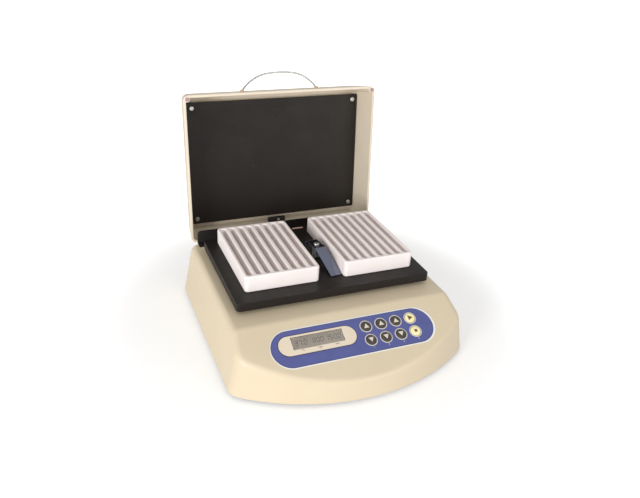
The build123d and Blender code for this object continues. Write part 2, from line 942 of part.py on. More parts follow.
def lid_handle():
    """Bent wire bail: straight feet in the wall, then a low arch."""
    span = handle_half_span
    rise = handle_rise
    shape = [(-span, -lid_wall), (-span, handle_foot_share * rise)]
    shape += [(-across * span, up * rise) for across, up in handle_shoulders]
    points = shape + [(-x, y) for x, y in reversed(shape)]
    bends = [handle_foot_bend] + handle_shoulder_bends
    path = FilletPolyline(*points, radius=bends + bends[::-1])
    plane = Plane(
        origin=(handle_middle_x, handle_wall_y, handle_z), x_dir=(-1, 0, 0), z_dir=(0, 0, 1)
    )
    path = plane.location * path
    start = Plane(origin=path @ 0, z_dir=path % 0)
    return sweep(start.location * Circle(wire_diameter / 2), path)


def handle_ferrules():
    bore = wire_diameter + 2 * wire_clearance
    outer = lid_form(0)
    ferrules = []
    for x in handle_feet():
        low = handle_wall_y - ferrule_height
        ferrule = rod_y(ferrule_diameter, low, handle_wall_y + 1, x, handle_z)
        ferrule -= rod_y(bore, low - 1, handle_wall_y + 2, x, handle_z)
        ferrules.append(ferrule - outer)
    return group(ferrules)


# Hinges


def knuckles(middle_x, wanted):
    """The knuckles of one leaf, every second one along the pin."""
    pitch = hinge_width / knuckle_count
    start = middle_x - hinge_width / 2
    spans = []
    for index in range(knuckle_count):
        if index % 2 == wanted:
            left = start + index * pitch + knuckle_gap / 2
            spans.append((left, left + pitch - knuckle_gap))
    return spans


def hinge_base_leaves():
    leaves = []
    bore = hinge_pin_diameter + 2 * running_gap
    y_range = (rear_wall_y, rear_wall_y + leaf_thickness)
    low = hinge_z - leaf_height
    for middle in (-hinge_x, hinge_x):
        half = hinge_width / 2
        leaf = block((middle - half, middle + half), y_range, (low, hinge_z - knuckle_radius - leaf_relief))
        for span in knuckles(middle, 0):
            leaf += block(span, y_range, (low, hinge_z))
            leaf += rod_x(2 * knuckle_radius, *span, hinge_y, hinge_z)
        leaves.append(leaf - rod_x(bore, middle - half - 1, middle + half + 1, hinge_y, hinge_z))
    return group(leaves)


def lid_hinge_leaves():
    leaves = []
    bore = hinge_pin_diameter + 2 * running_gap
    y_range = (lid_rear_y, lid_rear_y + leaf_thickness)
    high = hinge_z + leaf_height
    for middle in (-hinge_x, hinge_x):
        half = hinge_width / 2
        leaf = block((middle - half, middle + half), y_range, (hinge_z + knuckle_radius + leaf_relief, high))
        for span in knuckles(middle, 1):
            leaf += block(span, y_range, (hinge_z, high))
            leaf += rod_x(2 * knuckle_radius, *span, hinge_y, hinge_z)
        leaves.append(leaf - rod_x(bore, middle - half - 1, middle + half + 1, hinge_y, hinge_z))
    return group(leaves)


def hinge_pins():
    half = hinge_width / 2
    return group(
        [rod_x(hinge_pin_diameter, x - half, x + half, hinge_y, hinge_z) for x in (-hinge_x, hinge_x)]
    )


# Power inlet and switch


def power_jack():
    """Round inlet: flange outside, body behind the wall, contact pin in the bore."""
    out = rear_wall_y + jack_flange_thickness
    inside = rear_wall_y - housing_wall
    half = jack_body_side / 2
    jack = rod_y(jack_flange_diameter, rear_wall_y, out, jack_x, jack_z)
    jack += rod_y(jack_thread_diameter, inside, rear_wall_y, jack_x, jack_z)
    jack += block(
        (jack_x - half, jack_x + half), (inside - jack_body_depth, inside), (jack_z - half, jack_z + half)
    )
    jack -= rod_y(jack_bore_diameter, out - jack_bore_depth, out + 1, jack_x, jack_z)
    return jack + rod_y(jack_pin_diameter, out - jack_bore_depth - 1, out - 1, jack_x, jack_z)


rocker_y = rear_wall_y + switch_flange_thickness - rocker_inset


def switch_outer_width():
    return rocker_width + 2 * rocker_clearance + 2 * switch_wall


def switch_outer_height():
    return 2 * (rocker_radius + rocker_clearance) + switch_wall


def switch_body():
    """Snap-in frame with a round-backed well that the rocker turns in."""
    half_width = switch_outer_width() / 2
    half_height = switch_outer_height() / 2
    out = rear_wall_y + switch_flange_thickness
    margin = switch_flange_margin / 2
    body = block(
        (rocker_x - half_width - margin, rocker_x + half_width + margin),
        (rear_wall_y, out),
        (rocker_z - half_height - margin, rocker_z + half_height + margin),
    )
    body += block(
        (rocker_x - half_width, rocker_x + half_width),
        (out - switch_depth, rear_wall_y),
        (rocker_z - half_height, rocker_z + half_height),
    )
    half = rocker_width / 2 + rocker_clearance
    well = 2 * (rocker_radius + rocker_clearance)
    body -= rod_x(well, rocker_x - half, rocker_x + half, rocker_y, rocker_z)
    bore = trunnion_diameter + 2 * running_gap
    reach = rocker_width / 2 + trunnion_length + axial_gap
    return body - rod_x(bore, rocker_x - reach, rocker_x + reach, rocker_y, rocker_z)


def power_rocker():
    """Rocker with a shallow V face, drawn level and then tipped to its rest."""
    outline = Polyline(
        (rocker_apex, 0),
        (rocker_face, rocker_end_z),
        (-rocker_back, rocker_end_z + 1),
        (-rocker_back, -rocker_end_z - 1),
        (rocker_face, -rocker_end_z),
        close=True,
    )
    side = Plane(origin=(-rocker_width / 2, 0, 0), x_dir=(0, 1, 0), z_dir=(1, 0, 0))
    rocker = extrude(side.location * make_face(outline), rocker_width, dir=(1, 0, 0))
    rocker &= rod_x(2 * rocker_radius, -rocker_width / 2, rocker_width / 2, 0, 0)
    reach = rocker_width / 2 + trunnion_length
    rocker += rod_x(trunnion_diameter, -reach, reach, 0, 0)
    return Pos(rocker_x, rocker_y, rocker_z) * Rot(rocker_tilt, 0, 0) * rocker


# Assembly


def fixed_nodes():
    """Everything but the lid's own pieces, as drawn."""
    nodes = {
        "base_housing": base_housing(),
        "base_plate": base_plate(),
        "rubber_feet": rubber_feet(),
        "base_screws": base_screws(),
        "control_overlay": control_overlay(),
        "display_surround": display_surround(),
        "display_window": display_window(),
        "display_module": display_module(),
        "control_board": control_board(),
        "key_switches": key_switches(),
        "chassis_plate": chassis_plate(),
        "chassis_screws": chassis_screws(),
        "motor_can": motor_can(),
        "motor_magnets": motor_magnets(),
        "motor_screws": motor_screws(),
        "main_bearing": main_bearing(),
        "crank_bearings": crank_bearings(),
        "power_jack": power_jack(),
        "switch_body": switch_body(),
        "power_rocker": power_rocker(),
        "seal_rail": seal_rail(),
        "hinge_base_leaves": hinge_base_leaves(),
        "hinge_pins": hinge_pins(),
        "drive_shaft": drive_shaft(),
        "motor_rotor": motor_rotor(),
        "counterweight": counterweight(),
        "platform_plate": platform_plate(),
        "platform_heater": platform_heater(),
        "hub_bearing": hub_bearing(),
        "platform_bearings": platform_bearings(),
        "platform_probe": platform_probe(),
        "thermal_cutout": thermal_cutout(),
        "clip_post": clip_post(),
        "clip_spring": clip_spring(),
        "clip_screw": clip_screw(),
        "plate_clip": plate_clip(),
        "plate_left": slotted_plate(plate_middle_x - plate_offset),
        "plate_right": slotted_plate(plate_middle_x + plate_offset),
    }
    for index, (x, y) in enumerate(crank_places()):
        nodes[f"idler_crank_{index + 1}"] = idler_crank(x, y)
    for name, (x, s) in key_places().items():
        nodes[name] = key_cap(x, s)
    return nodes


def lid_nodes():
    """The lid's pieces, turned open about the hinge pins."""
    closed = {
        "lid_shell": lid_shell(),
        "heater_panel": heater_panel(),
        "lid_insulation": lid_insulation(),
        "panel_screws": panel_screws(),
        "lid_bumpers": lid_bumpers(),
        "cable_clamp": cable_clamp(),
        "lid_handle": lid_handle(),
        "handle_ferrules": handle_ferrules(),
        "lid_hinge_leaves": lid_hinge_leaves(),
    }
    axis = Axis((0, hinge_y, hinge_z), (1, 0, 0))
    return {name: shape.rotate(axis, -lid_open_angle) for name, shape in closed.items()}


nodes = fixed_nodes() | lid_nodes()
whole = Compound([solid for shape in nodes.values() for solid in shape.solids()]).bounding_box()
middle_y = (whole.min.Y + whole.max.Y) / 2
os.makedirs("parts", exist_ok=True)
for name, shape in nodes.items():
    export_step(Pos(0, -middle_y, 0) * shape, f"parts/{name}.step")
print(len(nodes), "nodes, middle_y", round(middle_y, 3), "size", whole.size)
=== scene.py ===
import json
from math import cos, pi, radians, sin, tan

import bpy
from mathutils import Matrix, Vector

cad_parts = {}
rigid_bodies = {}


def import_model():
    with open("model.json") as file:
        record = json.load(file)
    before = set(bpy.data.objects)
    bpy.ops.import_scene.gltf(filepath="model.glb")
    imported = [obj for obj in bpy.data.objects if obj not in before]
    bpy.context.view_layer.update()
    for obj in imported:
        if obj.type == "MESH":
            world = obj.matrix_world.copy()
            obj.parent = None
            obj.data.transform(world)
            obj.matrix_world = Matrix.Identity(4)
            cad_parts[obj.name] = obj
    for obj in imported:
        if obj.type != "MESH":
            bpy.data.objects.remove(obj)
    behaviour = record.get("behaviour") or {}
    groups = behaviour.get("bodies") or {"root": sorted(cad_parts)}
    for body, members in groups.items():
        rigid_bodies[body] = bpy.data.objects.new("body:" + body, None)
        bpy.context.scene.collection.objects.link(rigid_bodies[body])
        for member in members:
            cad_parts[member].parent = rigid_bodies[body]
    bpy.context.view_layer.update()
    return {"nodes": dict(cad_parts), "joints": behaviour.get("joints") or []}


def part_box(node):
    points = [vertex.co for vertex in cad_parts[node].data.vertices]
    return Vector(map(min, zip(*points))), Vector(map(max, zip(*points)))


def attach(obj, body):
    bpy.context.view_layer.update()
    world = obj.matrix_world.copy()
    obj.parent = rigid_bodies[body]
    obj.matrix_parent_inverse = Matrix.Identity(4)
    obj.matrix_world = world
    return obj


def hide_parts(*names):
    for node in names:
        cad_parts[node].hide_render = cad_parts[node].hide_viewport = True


# Thermal mixer: two slotted plates on a black platform, a bow-fronted housing
# with a keypad, and an open lid with a heater panel. Lengths are in metres,
# written as millimetres times mm.
mm = 0.001

for leftover in list(bpy.data.objects):
    bpy.data.objects.remove(leftover)

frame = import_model()
nodes = frame["nodes"]
joints = {joint["name"]: joint for joint in frame["joints"]}

# Places read from the frame
platform_low, platform_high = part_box("platform_plate")
housing_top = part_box("base_housing")[1].z
left_low, left_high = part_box("plate_left")
right_low, right_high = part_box("plate_right")
front_y = platform_low.y

# Control face: X across, s down the slope from the crease
slope = radians(25.7)
crease_y = front_y - 24.2 * mm
overlay_middle = (-1.7 * mm, 34.9 * mm)
overlay_size = (193.3 * mm, 43.4 * mm)
overlay_top = 0.5 * mm
surround_top = 0.9 * mm
surround_middle = (-44.7 * mm, 31.4 * mm)
surround_size = (90.4 * mm, 23.5 * mm)
print_gap = 0.02 * mm
window_middle = (-44.3 * mm, 29.4 * mm)
window_size = (59.9 * mm, 14.9 * mm)
display_glass = -0.9 * mm
key_first_x = 15.1 * mm
key_pitch = 18.6 * mm
key_up_s = 25.1 * mm
key_down_s = 42.5 * mm
key_radius = 5.9 * mm
key_depth = 2.2 * mm
key_proud = 1.5 * mm
key_dome = 0.26 * mm
mark_thickness = 0.14 * mm
legend_drop = 9.6 * mm

# Lid, in the closed place; the joint turns it open
lid_turn = joints["lid_hinge"]
hinge_at = Vector(lid_turn["pos_m"])
open_angle = radians(lid_turn["range_deg"][1])
lid_width = 259.6 * mm
lid_length = 193.9 * mm
lid_depth = 50.0 * mm
lid_wall = 3.5 * mm
lid_draft = radians(8.0)
lid_corner = 8.0 * mm
roof_round = 6.5 * mm
lid_low_z = housing_top + 1.5 * mm
hinge_stand_off = 1.7 * mm
lid_rear_y = hinge_at.y + hinge_stand_off
lid_front_y = lid_rear_y - lid_length
panel_z = lid_low_z + 35.8 * mm
panel_half = lid_width / 2 - 10.0 * mm
panel_front_y = lid_front_y + 16.8 * mm
panel_rear_y = lid_rear_y - 12.0 * mm
panel_thickness = 3.0 * mm
panel_screw_inset = 7.0 * mm
bumper_inset = 5.0 * mm
bumper_radius = 2.5 * mm
bumper_post_radius = 3.5 * mm
handle_middle = 0.7 * mm
handle_half_span = 51.0 * mm
handle_rise = 22.7 * mm
handle_depth = 20.0 * mm
handle_z = lid_low_z + handle_depth
handle_wall_y = lid_front_y + handle_depth * tan(lid_draft)
wire_radius = 1.2 * mm


# Modelling helpers


def deselect():
    """Object mode with nothing selected."""
    if bpy.context.mode != "OBJECT":
        bpy.ops.object.mode_set(mode="OBJECT")
    bpy.ops.object.select_all(action="DESELECT")


def only(piece):
    deselect()
    piece.select_set(True)
    bpy.context.view_layer.objects.active = piece


def begin(name):
    """Names the primitive that was just added."""
    piece = bpy.context.object
    piece.name = name
    piece.data.name = name
    return piece


def settle(piece):
    """Puts the piece's place, turn and scale into its mesh."""
    only(piece)
    bpy.ops.object.transform_apply(location=True, rotation=True, scale=True)
    return piece


def move(piece, matrix):
    """Moves the mesh of a settled piece."""
    piece.matrix_world = matrix
    return settle(piece)


def add_block(name, low, high):
    deselect()
    bpy.ops.mesh.primitive_cube_add(size=1, location=(Vector(low) + Vector(high)) / 2)
    piece = begin(name)
    piece.scale = Vector(high) - Vector(low)
    return settle(piece)


def add_rod(name, radius, low, high, sides=48, at=(0, 0)):
    deselect()
    middle = (at[0], at[1], (low + high) / 2)
    bpy.ops.mesh.primitive_cylinder_add(vertices=sides, radius=radius, depth=high - low, location=middle)
    return settle(begin(name))


def pick(piece, kind, test):
    """Edit mode with those vertices, edges or faces selected whose place and direction pass the test."""
    deselect()
    bpy.context.view_layer.objects.active = piece
    piece.select_set(True)
    mesh = piece.data
    for items in (mesh.vertices, mesh.edges, mesh.polygons):
        items.foreach_set("select", [False] * len(items))
    if kind == "VERT":
        for vertex in mesh.vertices:
            vertex.select = bool(test(vertex.co, vertex.normal))
    if kind == "EDGE":
        for edge in mesh.edges:
            start, end = (mesh.vertices[index].co for index in edge.vertices)
            edge.select = bool(test((start + end) / 2, (end - start).normalized()))
    if kind == "FACE":
        for face in mesh.polygons:
            face.select = bool(test(face.center, face.normal))
    bpy.context.tool_settings.mesh_select_mode = (kind == "VERT", kind == "EDGE", kind == "FACE")
    bpy.ops.object.mode_set(mode="EDIT")


def end_edit():
    bpy.ops.object.mode_set(mode="OBJECT")


def round_edges(piece, width, segments, test):
    """Bevels the picked edges."""
    pick(piece, "EDGE", test)
    bpy.ops.mesh.bevel(offset=width, segments=segments, affect="EDGES", clamp_overlap=False)
    end_edit()
    return piece


def modify(piece, kind, **settings):
    """Adds a modifier and applies it."""
    only(piece)
    modifier = piece.modifiers.new(kind.lower(), kind)
    for name, value in settings.items():
        setattr(modifier, name, value)
    bpy.ops.object.modifier_apply(modifier=modifier.name)
    return piece


def cut(piece, cutters):
    """Cuts the cutters out of the piece and removes them."""
    for cutter in cutters:
        modify(piece, "BOOLEAN", operation="DIFFERENCE", solver="EXACT", object=cutter)
        bpy.data.objects.remove(cutter)
    return piece


def soften(piece, width, segments=2, angle=40):
    """Small rounding on every sharp edge."""
    return modify(
        piece, "BEVEL", width=width, segments=segments, limit_method="ANGLE",
        angle_limit=radians(angle), harden_normals=False, use_clamp_overlap=True,
    )


def smooth(piece, angle=35):
    only(piece)
    bpy.ops.object.shade_smooth_by_angle(angle=radians(angle))
    return modify(piece, "WEIGHTED_NORMAL", keep_sharp=True, weight=50)


def clean(piece):
    """Merges doubles and turns all faces outwards."""
    pick(piece, "VERT", lambda at, way: True)
    bpy.ops.mesh.remove_doubles(threshold=0.001 * mm)
    bpy.ops.mesh.normals_make_consistent(inside=False)
    end_edit()
    return piece


def copy_of(piece, name, matrix):
    """A copy with its own mesh, moved by the matrix."""
    other = piece.copy()
    other.data = piece.data.copy()
    other.name = name
    other.data.name = name
    bpy.context.scene.collection.objects.link(other)
    return move(other, matrix)


def join(pieces, name):
    deselect()
    for piece in pieces:
        piece.select_set(True)
    bpy.context.view_layer.objects.active = pieces[0]
    if len(pieces) > 1:
        bpy.ops.object.join()
    return begin(name)


def skin_of(node, name, angle=35):
    """A copy of a CAD node's mesh, merged and shaded smooth, that stands for the node."""
    source = nodes[node]
    piece = bpy.data.objects.new(name, source.data.copy())
    piece.data.name = name
    bpy.context.scene.collection.objects.link(piece)
    pick(piece, "VERT", lambda at, way: True)
    bpy.ops.mesh.remove_doubles(threshold=0.002 * mm)
    end_edit()
    return smooth(piece, angle)


def dress(piece, material, body, *replaced):
    """Gives the piece its material and its body, and hides the CAD nodes it stands for."""
    piece.data.materials.clear()
    piece.data.materials.append(material)
    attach(piece, body)
    if replaced:
        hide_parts(*replaced)
    return piece


face_matrix = Matrix.Translation((0, crease_y, housing_top)) @ Matrix.Rotation(slope, 4, "X")
lid_open = (
    Matrix.Translation(hinge_at) @ Matrix.Rotation(-open_angle, 4, "X") @ Matrix.Translation(-hinge_at)
)


def lay_on_face(piece, x, s, height=0.0):
    """Moves a piece that was modelled flat round the origin onto the control face."""
    return move(piece, face_matrix @ Matrix.Translation((x, -s, height)))


# Shader groups


def tone(red, green, blue):
    """Colour written as it shows on a screen, 0 to 255, turned to linear values."""
    values = []
    for value in (red, green, blue):
        share = value / 255
        values.append(share / 12.92 if share <= 0.04045 else ((share + 0.055) / 1.055) ** 2.4)
    return (*values, 1.0)


def new_group(name, inputs, outputs):
    group = bpy.data.node_groups.new(name, "ShaderNodeTree")
    for label, kind, value in inputs:
        socket = group.interface.new_socket(label, in_out="INPUT", socket_type=kind)
        if value is not None:
            socket.default_value = value
    for label, kind in outputs:
        group.interface.new_socket(label, in_out="OUTPUT", socket_type=kind)
    return group, group.nodes.new("NodeGroupInput"), group.nodes.new("NodeGroupOutput")


def add_node(tree, kind, links=(), **settings):
    """Adds a node, sets its sockets by name and links others into it."""
    node = tree.nodes.new(kind)
    for name, value in settings.items():
        if hasattr(node, name):
            setattr(node, name, value)
        else:
            node.inputs[name.replace("_", " ")].default_value = value
    for socket, source in dict(links).items():
        tree.links.new(source, node.inputs[socket])
    return node


def make_tone_drift():
    """Slow change between two close tones, as in real mouldings and paint."""
    group, given, out = new_group(
        "tone_drift",
        [
            ("Vector", "NodeSocketVector", None),
            ("Tone", "NodeSocketColor", (0.8, 0.8, 0.8, 1)),
            ("Other Tone", "NodeSocketColor", (0.7, 0.7, 0.7, 1)),
            ("Scale", "NodeSocketFloat", 20.0),
            ("Share", "NodeSocketFloat", 0.5),
        ],
        [("Color", "NodeSocketColor")],
    )
    noise = add_node(
        group, "ShaderNodeTexNoise", {"Vector": given.outputs["Vector"], "Scale": given.outputs["Scale"]},
        Detail=4.0, Roughness=0.55,
    )
    spread = add_node(group, "ShaderNodeMapRange", {"Value": noise.outputs["Fac"]})
    spread.inputs["From Min"].default_value = 0.3
    spread.inputs["From Max"].default_value = 0.7
    share = add_node(group, "ShaderNodeMath", operation="MULTIPLY")
    group.links.new(spread.outputs["Result"], share.inputs[0])
    group.links.new(given.outputs["Share"], share.inputs[1])
    mix = add_node(group, "ShaderNodeMix", data_type="RGBA")
    group.links.new(share.outputs[0], mix.inputs["Factor"])
    group.links.new(given.outputs["Tone"], mix.inputs[6])
    group.links.new(given.outputs["Other Tone"], mix.inputs[7])
    group.links.new(mix.outputs[2], out.inputs["Color"])
    return group


def make_fine_grain():
    """Moulded or sprayed grain as a normal, with a matching change of roughness."""
    group, given, out = new_group(
        "fine_grain",
        [
            ("Vector", "NodeSocketVector", None),
            ("Scale", "NodeSocketFloat", 900.0),
            ("Depth", "NodeSocketFloat", 0.2),
            ("Roughness", "NodeSocketFloat", 0.5),
            ("Spread", "NodeSocketFloat", 0.1),
        ],
        [("Normal", "NodeSocketVector"), ("Roughness", "NodeSocketFloat")],
    )
    fine = add_node(
        group, "ShaderNodeTexNoise", {"Vector": given.outputs["Vector"], "Scale": given.outputs["Scale"]},
        Detail=3.0, Roughness=0.6,
    )
    bump = add_node(
        group, "ShaderNodeBump", {"Height": fine.outputs["Fac"], "Strength": given.outputs["Depth"]},
        Distance=0.0002,
    )
    slow = add_node(group, "ShaderNodeTexNoise", {"Vector": given.outputs["Vector"]}, Scale=35.0, Detail=5.0)
    centred = add_node(group, "ShaderNodeMath", operation="SUBTRACT")
    group.links.new(slow.outputs["Fac"], centred.inputs[0])
    centred.inputs[1].default_value = 0.5
    scaled = add_node(group, "ShaderNodeMath", operation="MULTIPLY_ADD", use_clamp=True)
    group.links.new(centred.outputs[0], scaled.inputs[0])
    group.links.new(given.outputs["Spread"], scaled.inputs[1])
    group.links.new(given.outputs["Roughness"], scaled.inputs[2])
    group.links.new(bump.outputs["Normal"], out.inputs["Normal"])
    group.links.new(scaled.outputs[0], out.inputs["Roughness"])
    return group


def make_speckle():
    """Mask of scattered small specks, such as dust on a dark panel."""
    group, given, out = new_group(
        "speckle",
        [
            ("Vector", "NodeSocketVector", None),
            ("Scale", "NodeSocketFloat", 120.0),
            ("Size", "NodeSocketFloat", 0.08),
        ],
        [("Mask", "NodeSocketFloat")],
    )
    cells = add_node(
        group, "ShaderNodeTexVoronoi", {"Vector": given.outputs["Vector"], "Scale": given.outputs["Scale"]}
    )
    near = add_node(group, "ShaderNodeMath", operation="LESS_THAN")
    group.links.new(cells.outputs["Distance"], near.inputs[0])
    group.links.new(given.outputs["Size"], near.inputs[1])
    patch = add_node(group, "ShaderNodeTexNoise", {"Vector": given.outputs["Vector"]}, Scale=18.0, Detail=3.0)
    some = add_node(group, "ShaderNodeMath", operation="GREATER_THAN")
    group.links.new(patch.outputs["Fac"], some.inputs[0])
    some.inputs[1].default_value = 0.52
    both = add_node(group, "ShaderNodeMath", operation="MULTIPLY")
    group.links.new(near.outputs[0], both.inputs[0])
    group.links.new(some.outputs[0], both.inputs[1])
    group.links.new(both.outputs[0], out.inputs["Mask"])
    return group


tone_drift = make_tone_drift()
fine_grain = make_fine_grain()
speckle = make_speckle()


def use_group(tree, group, vector, **values):
    node = tree.nodes.new("ShaderNodeGroup")
    node.node_tree = group
    tree.links.new(vector, node.inputs["Vector"])
    for name, value in values.items():
        node.inputs[name.replace("_", " ")].default_value = value
    return node


def new_finish(
    name, main, other, drift=25.0, share=0.5, grain=900.0, depth=0.15, rough=0.5, spread=0.12,
    stretch=(1, 1, 1), specks=None, **sockets,
):
    """A finish: two close tones, a grain with its own depth, and constants on the shader itself."""
    material = bpy.data.materials.new(name)
    material.use_nodes = True
    tree = material.node_tree
    shader = tree.nodes["Principled BSDF"]
    place = tree.nodes.new("ShaderNodeTexCoord")
    mapping = add_node(tree, "ShaderNodeMapping", {"Vector": place.outputs["Object"]}, Scale=stretch)
    vector = mapping.outputs["Vector"]
    drifted = use_group(tree, tone_drift, vector, Tone=main, Other_Tone=other, Scale=drift, Share=share)
    color = drifted.outputs["Color"]
    if specks:
        scale, size, speck_tone = specks
        mask = use_group(tree, speckle, vector, Scale=scale, Size=size)
        mix = add_node(tree, "ShaderNodeMix", data_type="RGBA")
        tree.links.new(mask.outputs["Mask"], mix.inputs[0])
        tree.links.new(color, mix.inputs[6])
        mix.inputs[7].default_value = speck_tone
        color = mix.outputs[2]
    grained = use_group(
        tree, fine_grain, vector, Scale=grain, Depth=depth, Roughness=rough, Spread=spread
    )
    tree.links.new(color, shader.inputs["Base Color"])
    tree.links.new(grained.outputs["Normal"], shader.inputs["Normal"])
    tree.links.new(grained.outputs["Roughness"], shader.inputs["Roughness"])
    for socket, value in sockets.items():
        shader.inputs[socket.replace("_", " ")].default_value = value
    return material


housing_finish = new_finish(
    "moulded_housing", tone(223, 207, 178), tone(217, 199, 169), drift=14, share=0.6, grain=1500, depth=0.12,
    rough=0.42, spread=0.10, Coat_Weight=0.12, Coat_Roughness=0.35,
)
lid_finish = new_finish(
    "moulded_lid", tone(232, 219, 198), tone(225, 210, 187), drift=12, share=0.6, grain=1500, depth=0.12,
    rough=0.45, spread=0.10, Coat_Weight=0.10, Coat_Roughness=0.35,
)
platform_finish = new_finish(
    "black_platform_paint", tone(26, 21, 18), tone(34, 28, 24), drift=30, share=0.5, grain=1100, depth=0.35,
    rough=0.48, spread=0.25, specks=(420, 0.05, tone(70, 62, 55)), Specular_IOR_Level=0.3,
)
panel_finish = new_finish(
    "black_heater_panel", tone(28, 23, 20), tone(38, 32, 27), drift=16, share=0.7, grain=700, depth=0.5,
    rough=0.5, spread=0.3, specks=(230, 0.06, tone(112, 104, 92)), Specular_IOR_Level=0.3,
)
rail_finish = new_finish(
    "black_sheet_metal", tone(26, 22, 19), tone(34, 29, 26), drift=30, grain=900, depth=0.3, rough=0.45,
)
plate_finish = new_finish(
    "white_plate_coating", tone(252, 243, 240), tone(247, 235, 230), drift=40, share=0.6, grain=1300,
    depth=0.22, rough=0.5, spread=0.15,
)
polished_steel = new_finish(
    "polished_strip_steel", tone(128, 133, 152), tone(112, 117, 136), drift=30, share=0.4, grain=500,
    depth=0.03, rough=0.1, spread=0.08, Metallic=1.0,
)
wire_steel = new_finish(
    "handle_wire_steel", tone(196, 194, 190), tone(170, 168, 164), drift=60, share=0.5, grain=900,
    depth=0.05, rough=0.2, spread=0.1, Metallic=1.0,
)
turned_steel = new_finish(
    "turned_steel", tone(190, 190, 192), tone(168, 168, 170), drift=80, share=0.5, grain=900, depth=0.15,
    rough=0.32, spread=0.15, Metallic=1.0, stretch=(1, 1, 14),
)
screw_steel = new_finish(
    "zinc_screw", tone(205, 202, 196), tone(180, 176, 170), drift=200, share=0.5, grain=1500, depth=0.1,
    rough=0.28, spread=0.1, Metallic=1.0,
)
hinge_steel = new_finish(
    "brushed_hinge", tone(176, 176, 178), tone(150, 150, 152), drift=60, grain=700, depth=0.25, rough=0.38,
    Metallic=1.0, stretch=(0.06, 1, 1),
)
grey_sheet = new_finish(
    "grey_sheet_metal", tone(150, 150, 152), tone(138, 138, 141), drift=20, grain=900, depth=0.25, rough=0.5,
)
rubber_finish = new_finish(
    "black_rubber", tone(34, 33, 33), tone(46, 45, 44), drift=60, grain=1100, depth=0.5, rough=0.8,
)
bumper_finish = new_finish(
    "lid_bumper_rubber", tone(186, 150, 140), tone(170, 136, 126), drift=90, grain=1100, depth=0.3, rough=0.7,
)
overlay_finish = new_finish(
    "blue_overlay_film", tone(80, 87, 148), tone(90, 97, 156), drift=60, share=0.5, grain=2200, depth=0.08,
    rough=0.3, spread=0.08, Coat_Weight=0.3, Coat_Roughness=0.2,
)
outline_finish = new_finish(
    "pale_overlay_edge", tone(240, 240, 238), tone(228, 230, 232), drift=80, grain=2200, depth=0.08,
    rough=0.3,
)
rim_finish = new_finish(
    "dark_overlay_edge", tone(52, 52, 78), tone(66, 66, 92), drift=80, grain=2200, depth=0.08, rough=0.4,
)
surround_finish = new_finish(
    "cream_display_surround", tone(234, 219, 196), tone(226, 210, 186), drift=60, grain=2200, depth=0.08,
    rough=0.32, Coat_Weight=0.3, Coat_Roughness=0.2,
)
lcd_finish = new_finish(
    "display_glass_back", tone(232, 220, 208), tone(216, 204, 192), drift=40, share=0.6, grain=3000,
    depth=0.05, rough=0.35,
)
digit_finish = new_finish(
    "display_segments", tone(104, 100, 92), tone(116, 112, 104), drift=90, grain=2000, depth=0.05, rough=0.5,
)
dark_key_finish = new_finish(
    "dark_key_cap", tone(66, 58, 52), tone(78, 69, 62), drift=120, grain=1800, depth=0.12, rough=0.34,
    Coat_Weight=0.2, Coat_Roughness=0.2,
)
yellow_key_finish = new_finish(
    "yellow_key_cap", tone(255, 244, 190), tone(250, 236, 176), drift=120, grain=1800, depth=0.12, rough=0.36,
    Coat_Weight=0.2, Coat_Roughness=0.2,
)
key_mark_finish = new_finish(
    "pale_key_mark", tone(222, 216, 200), tone(210, 204, 188), drift=120, grain=2000, depth=0.05, rough=0.4,
)
brown_mark_finish = new_finish(
    "brown_key_mark", tone(120, 86, 50), tone(108, 76, 44), drift=120, grain=2000, depth=0.05, rough=0.45,
)
ferrule_finish = new_finish(
    "handle_ferrule", tone(226, 196, 166), tone(212, 178, 146), drift=90, grain=1200, depth=0.15, rough=0.4,
)
ceramic_finish = new_finish(
    "pale_cutout", tone(236, 196, 180), tone(226, 182, 166), drift=120, grain=1500, depth=0.15, rough=0.4,
)
dark_plastic = new_finish(
    "dark_plastic", tone(36, 35, 34), tone(46, 45, 44), drift=60, grain=1300, depth=0.25, rough=0.5,
)
board_finish = new_finish(
    "board_laminate", tone(40, 92, 58), tone(48, 104, 66), drift=60, grain=900, depth=0.2, rough=0.45,
)
felt_finish = new_finish(
    "insulation_felt", tone(206, 200, 186), tone(190, 184, 170), drift=90, grain=500, depth=0.8, rough=0.9,
)


def make_window_glass():
    """Clear pane over the display."""
    material = bpy.data.materials.new("display_window_pane")
    material.use_nodes = True
    shader = material.node_tree.nodes["Principled BSDF"]
    shader.inputs["Base Color"].default_value = tone(250, 250, 246)
    shader.inputs["Roughness"].default_value = 0.06
    shader.inputs["IOR"].default_value = 1.46
    shader.inputs["Transmission Weight"].default_value = 1.0
    return material


window_finish = make_window_glass()


# Housing and what it holds


def make_housing():
    dress(skin_of("base_housing", "housing_skin"), housing_finish, "base", "base_housing")


def plain_nodes():
    """CAD nodes whose shape is right: they only get their finish."""
    finishes = {
        grey_sheet: "base_plate chassis_plate motor_can",
        rubber_finish: "platform_heater",
        turned_steel: (
            "motor_magnets main_bearing crank_bearings drive_shaft motor_rotor counterweight hub_bearing "
            "platform_bearings platform_probe idler_crank_1 idler_crank_2 idler_crank_3 idler_crank_4"
        ),
        screw_steel: "base_screws chassis_screws motor_screws",
        board_finish: "control_board",
        dark_plastic: "key_switches",
        lcd_finish: "display_module",
        window_finish: "display_window",
        surround_finish: "display_surround",
        overlay_finish: "control_overlay",
        hinge_steel: "hinge_pins",
        felt_finish: "lid_insulation",
    }
    for finish, names in finishes.items():
        for name in names.split():
            node = nodes[name]
            node.data.materials.clear()
            node.data.materials.append(finish)


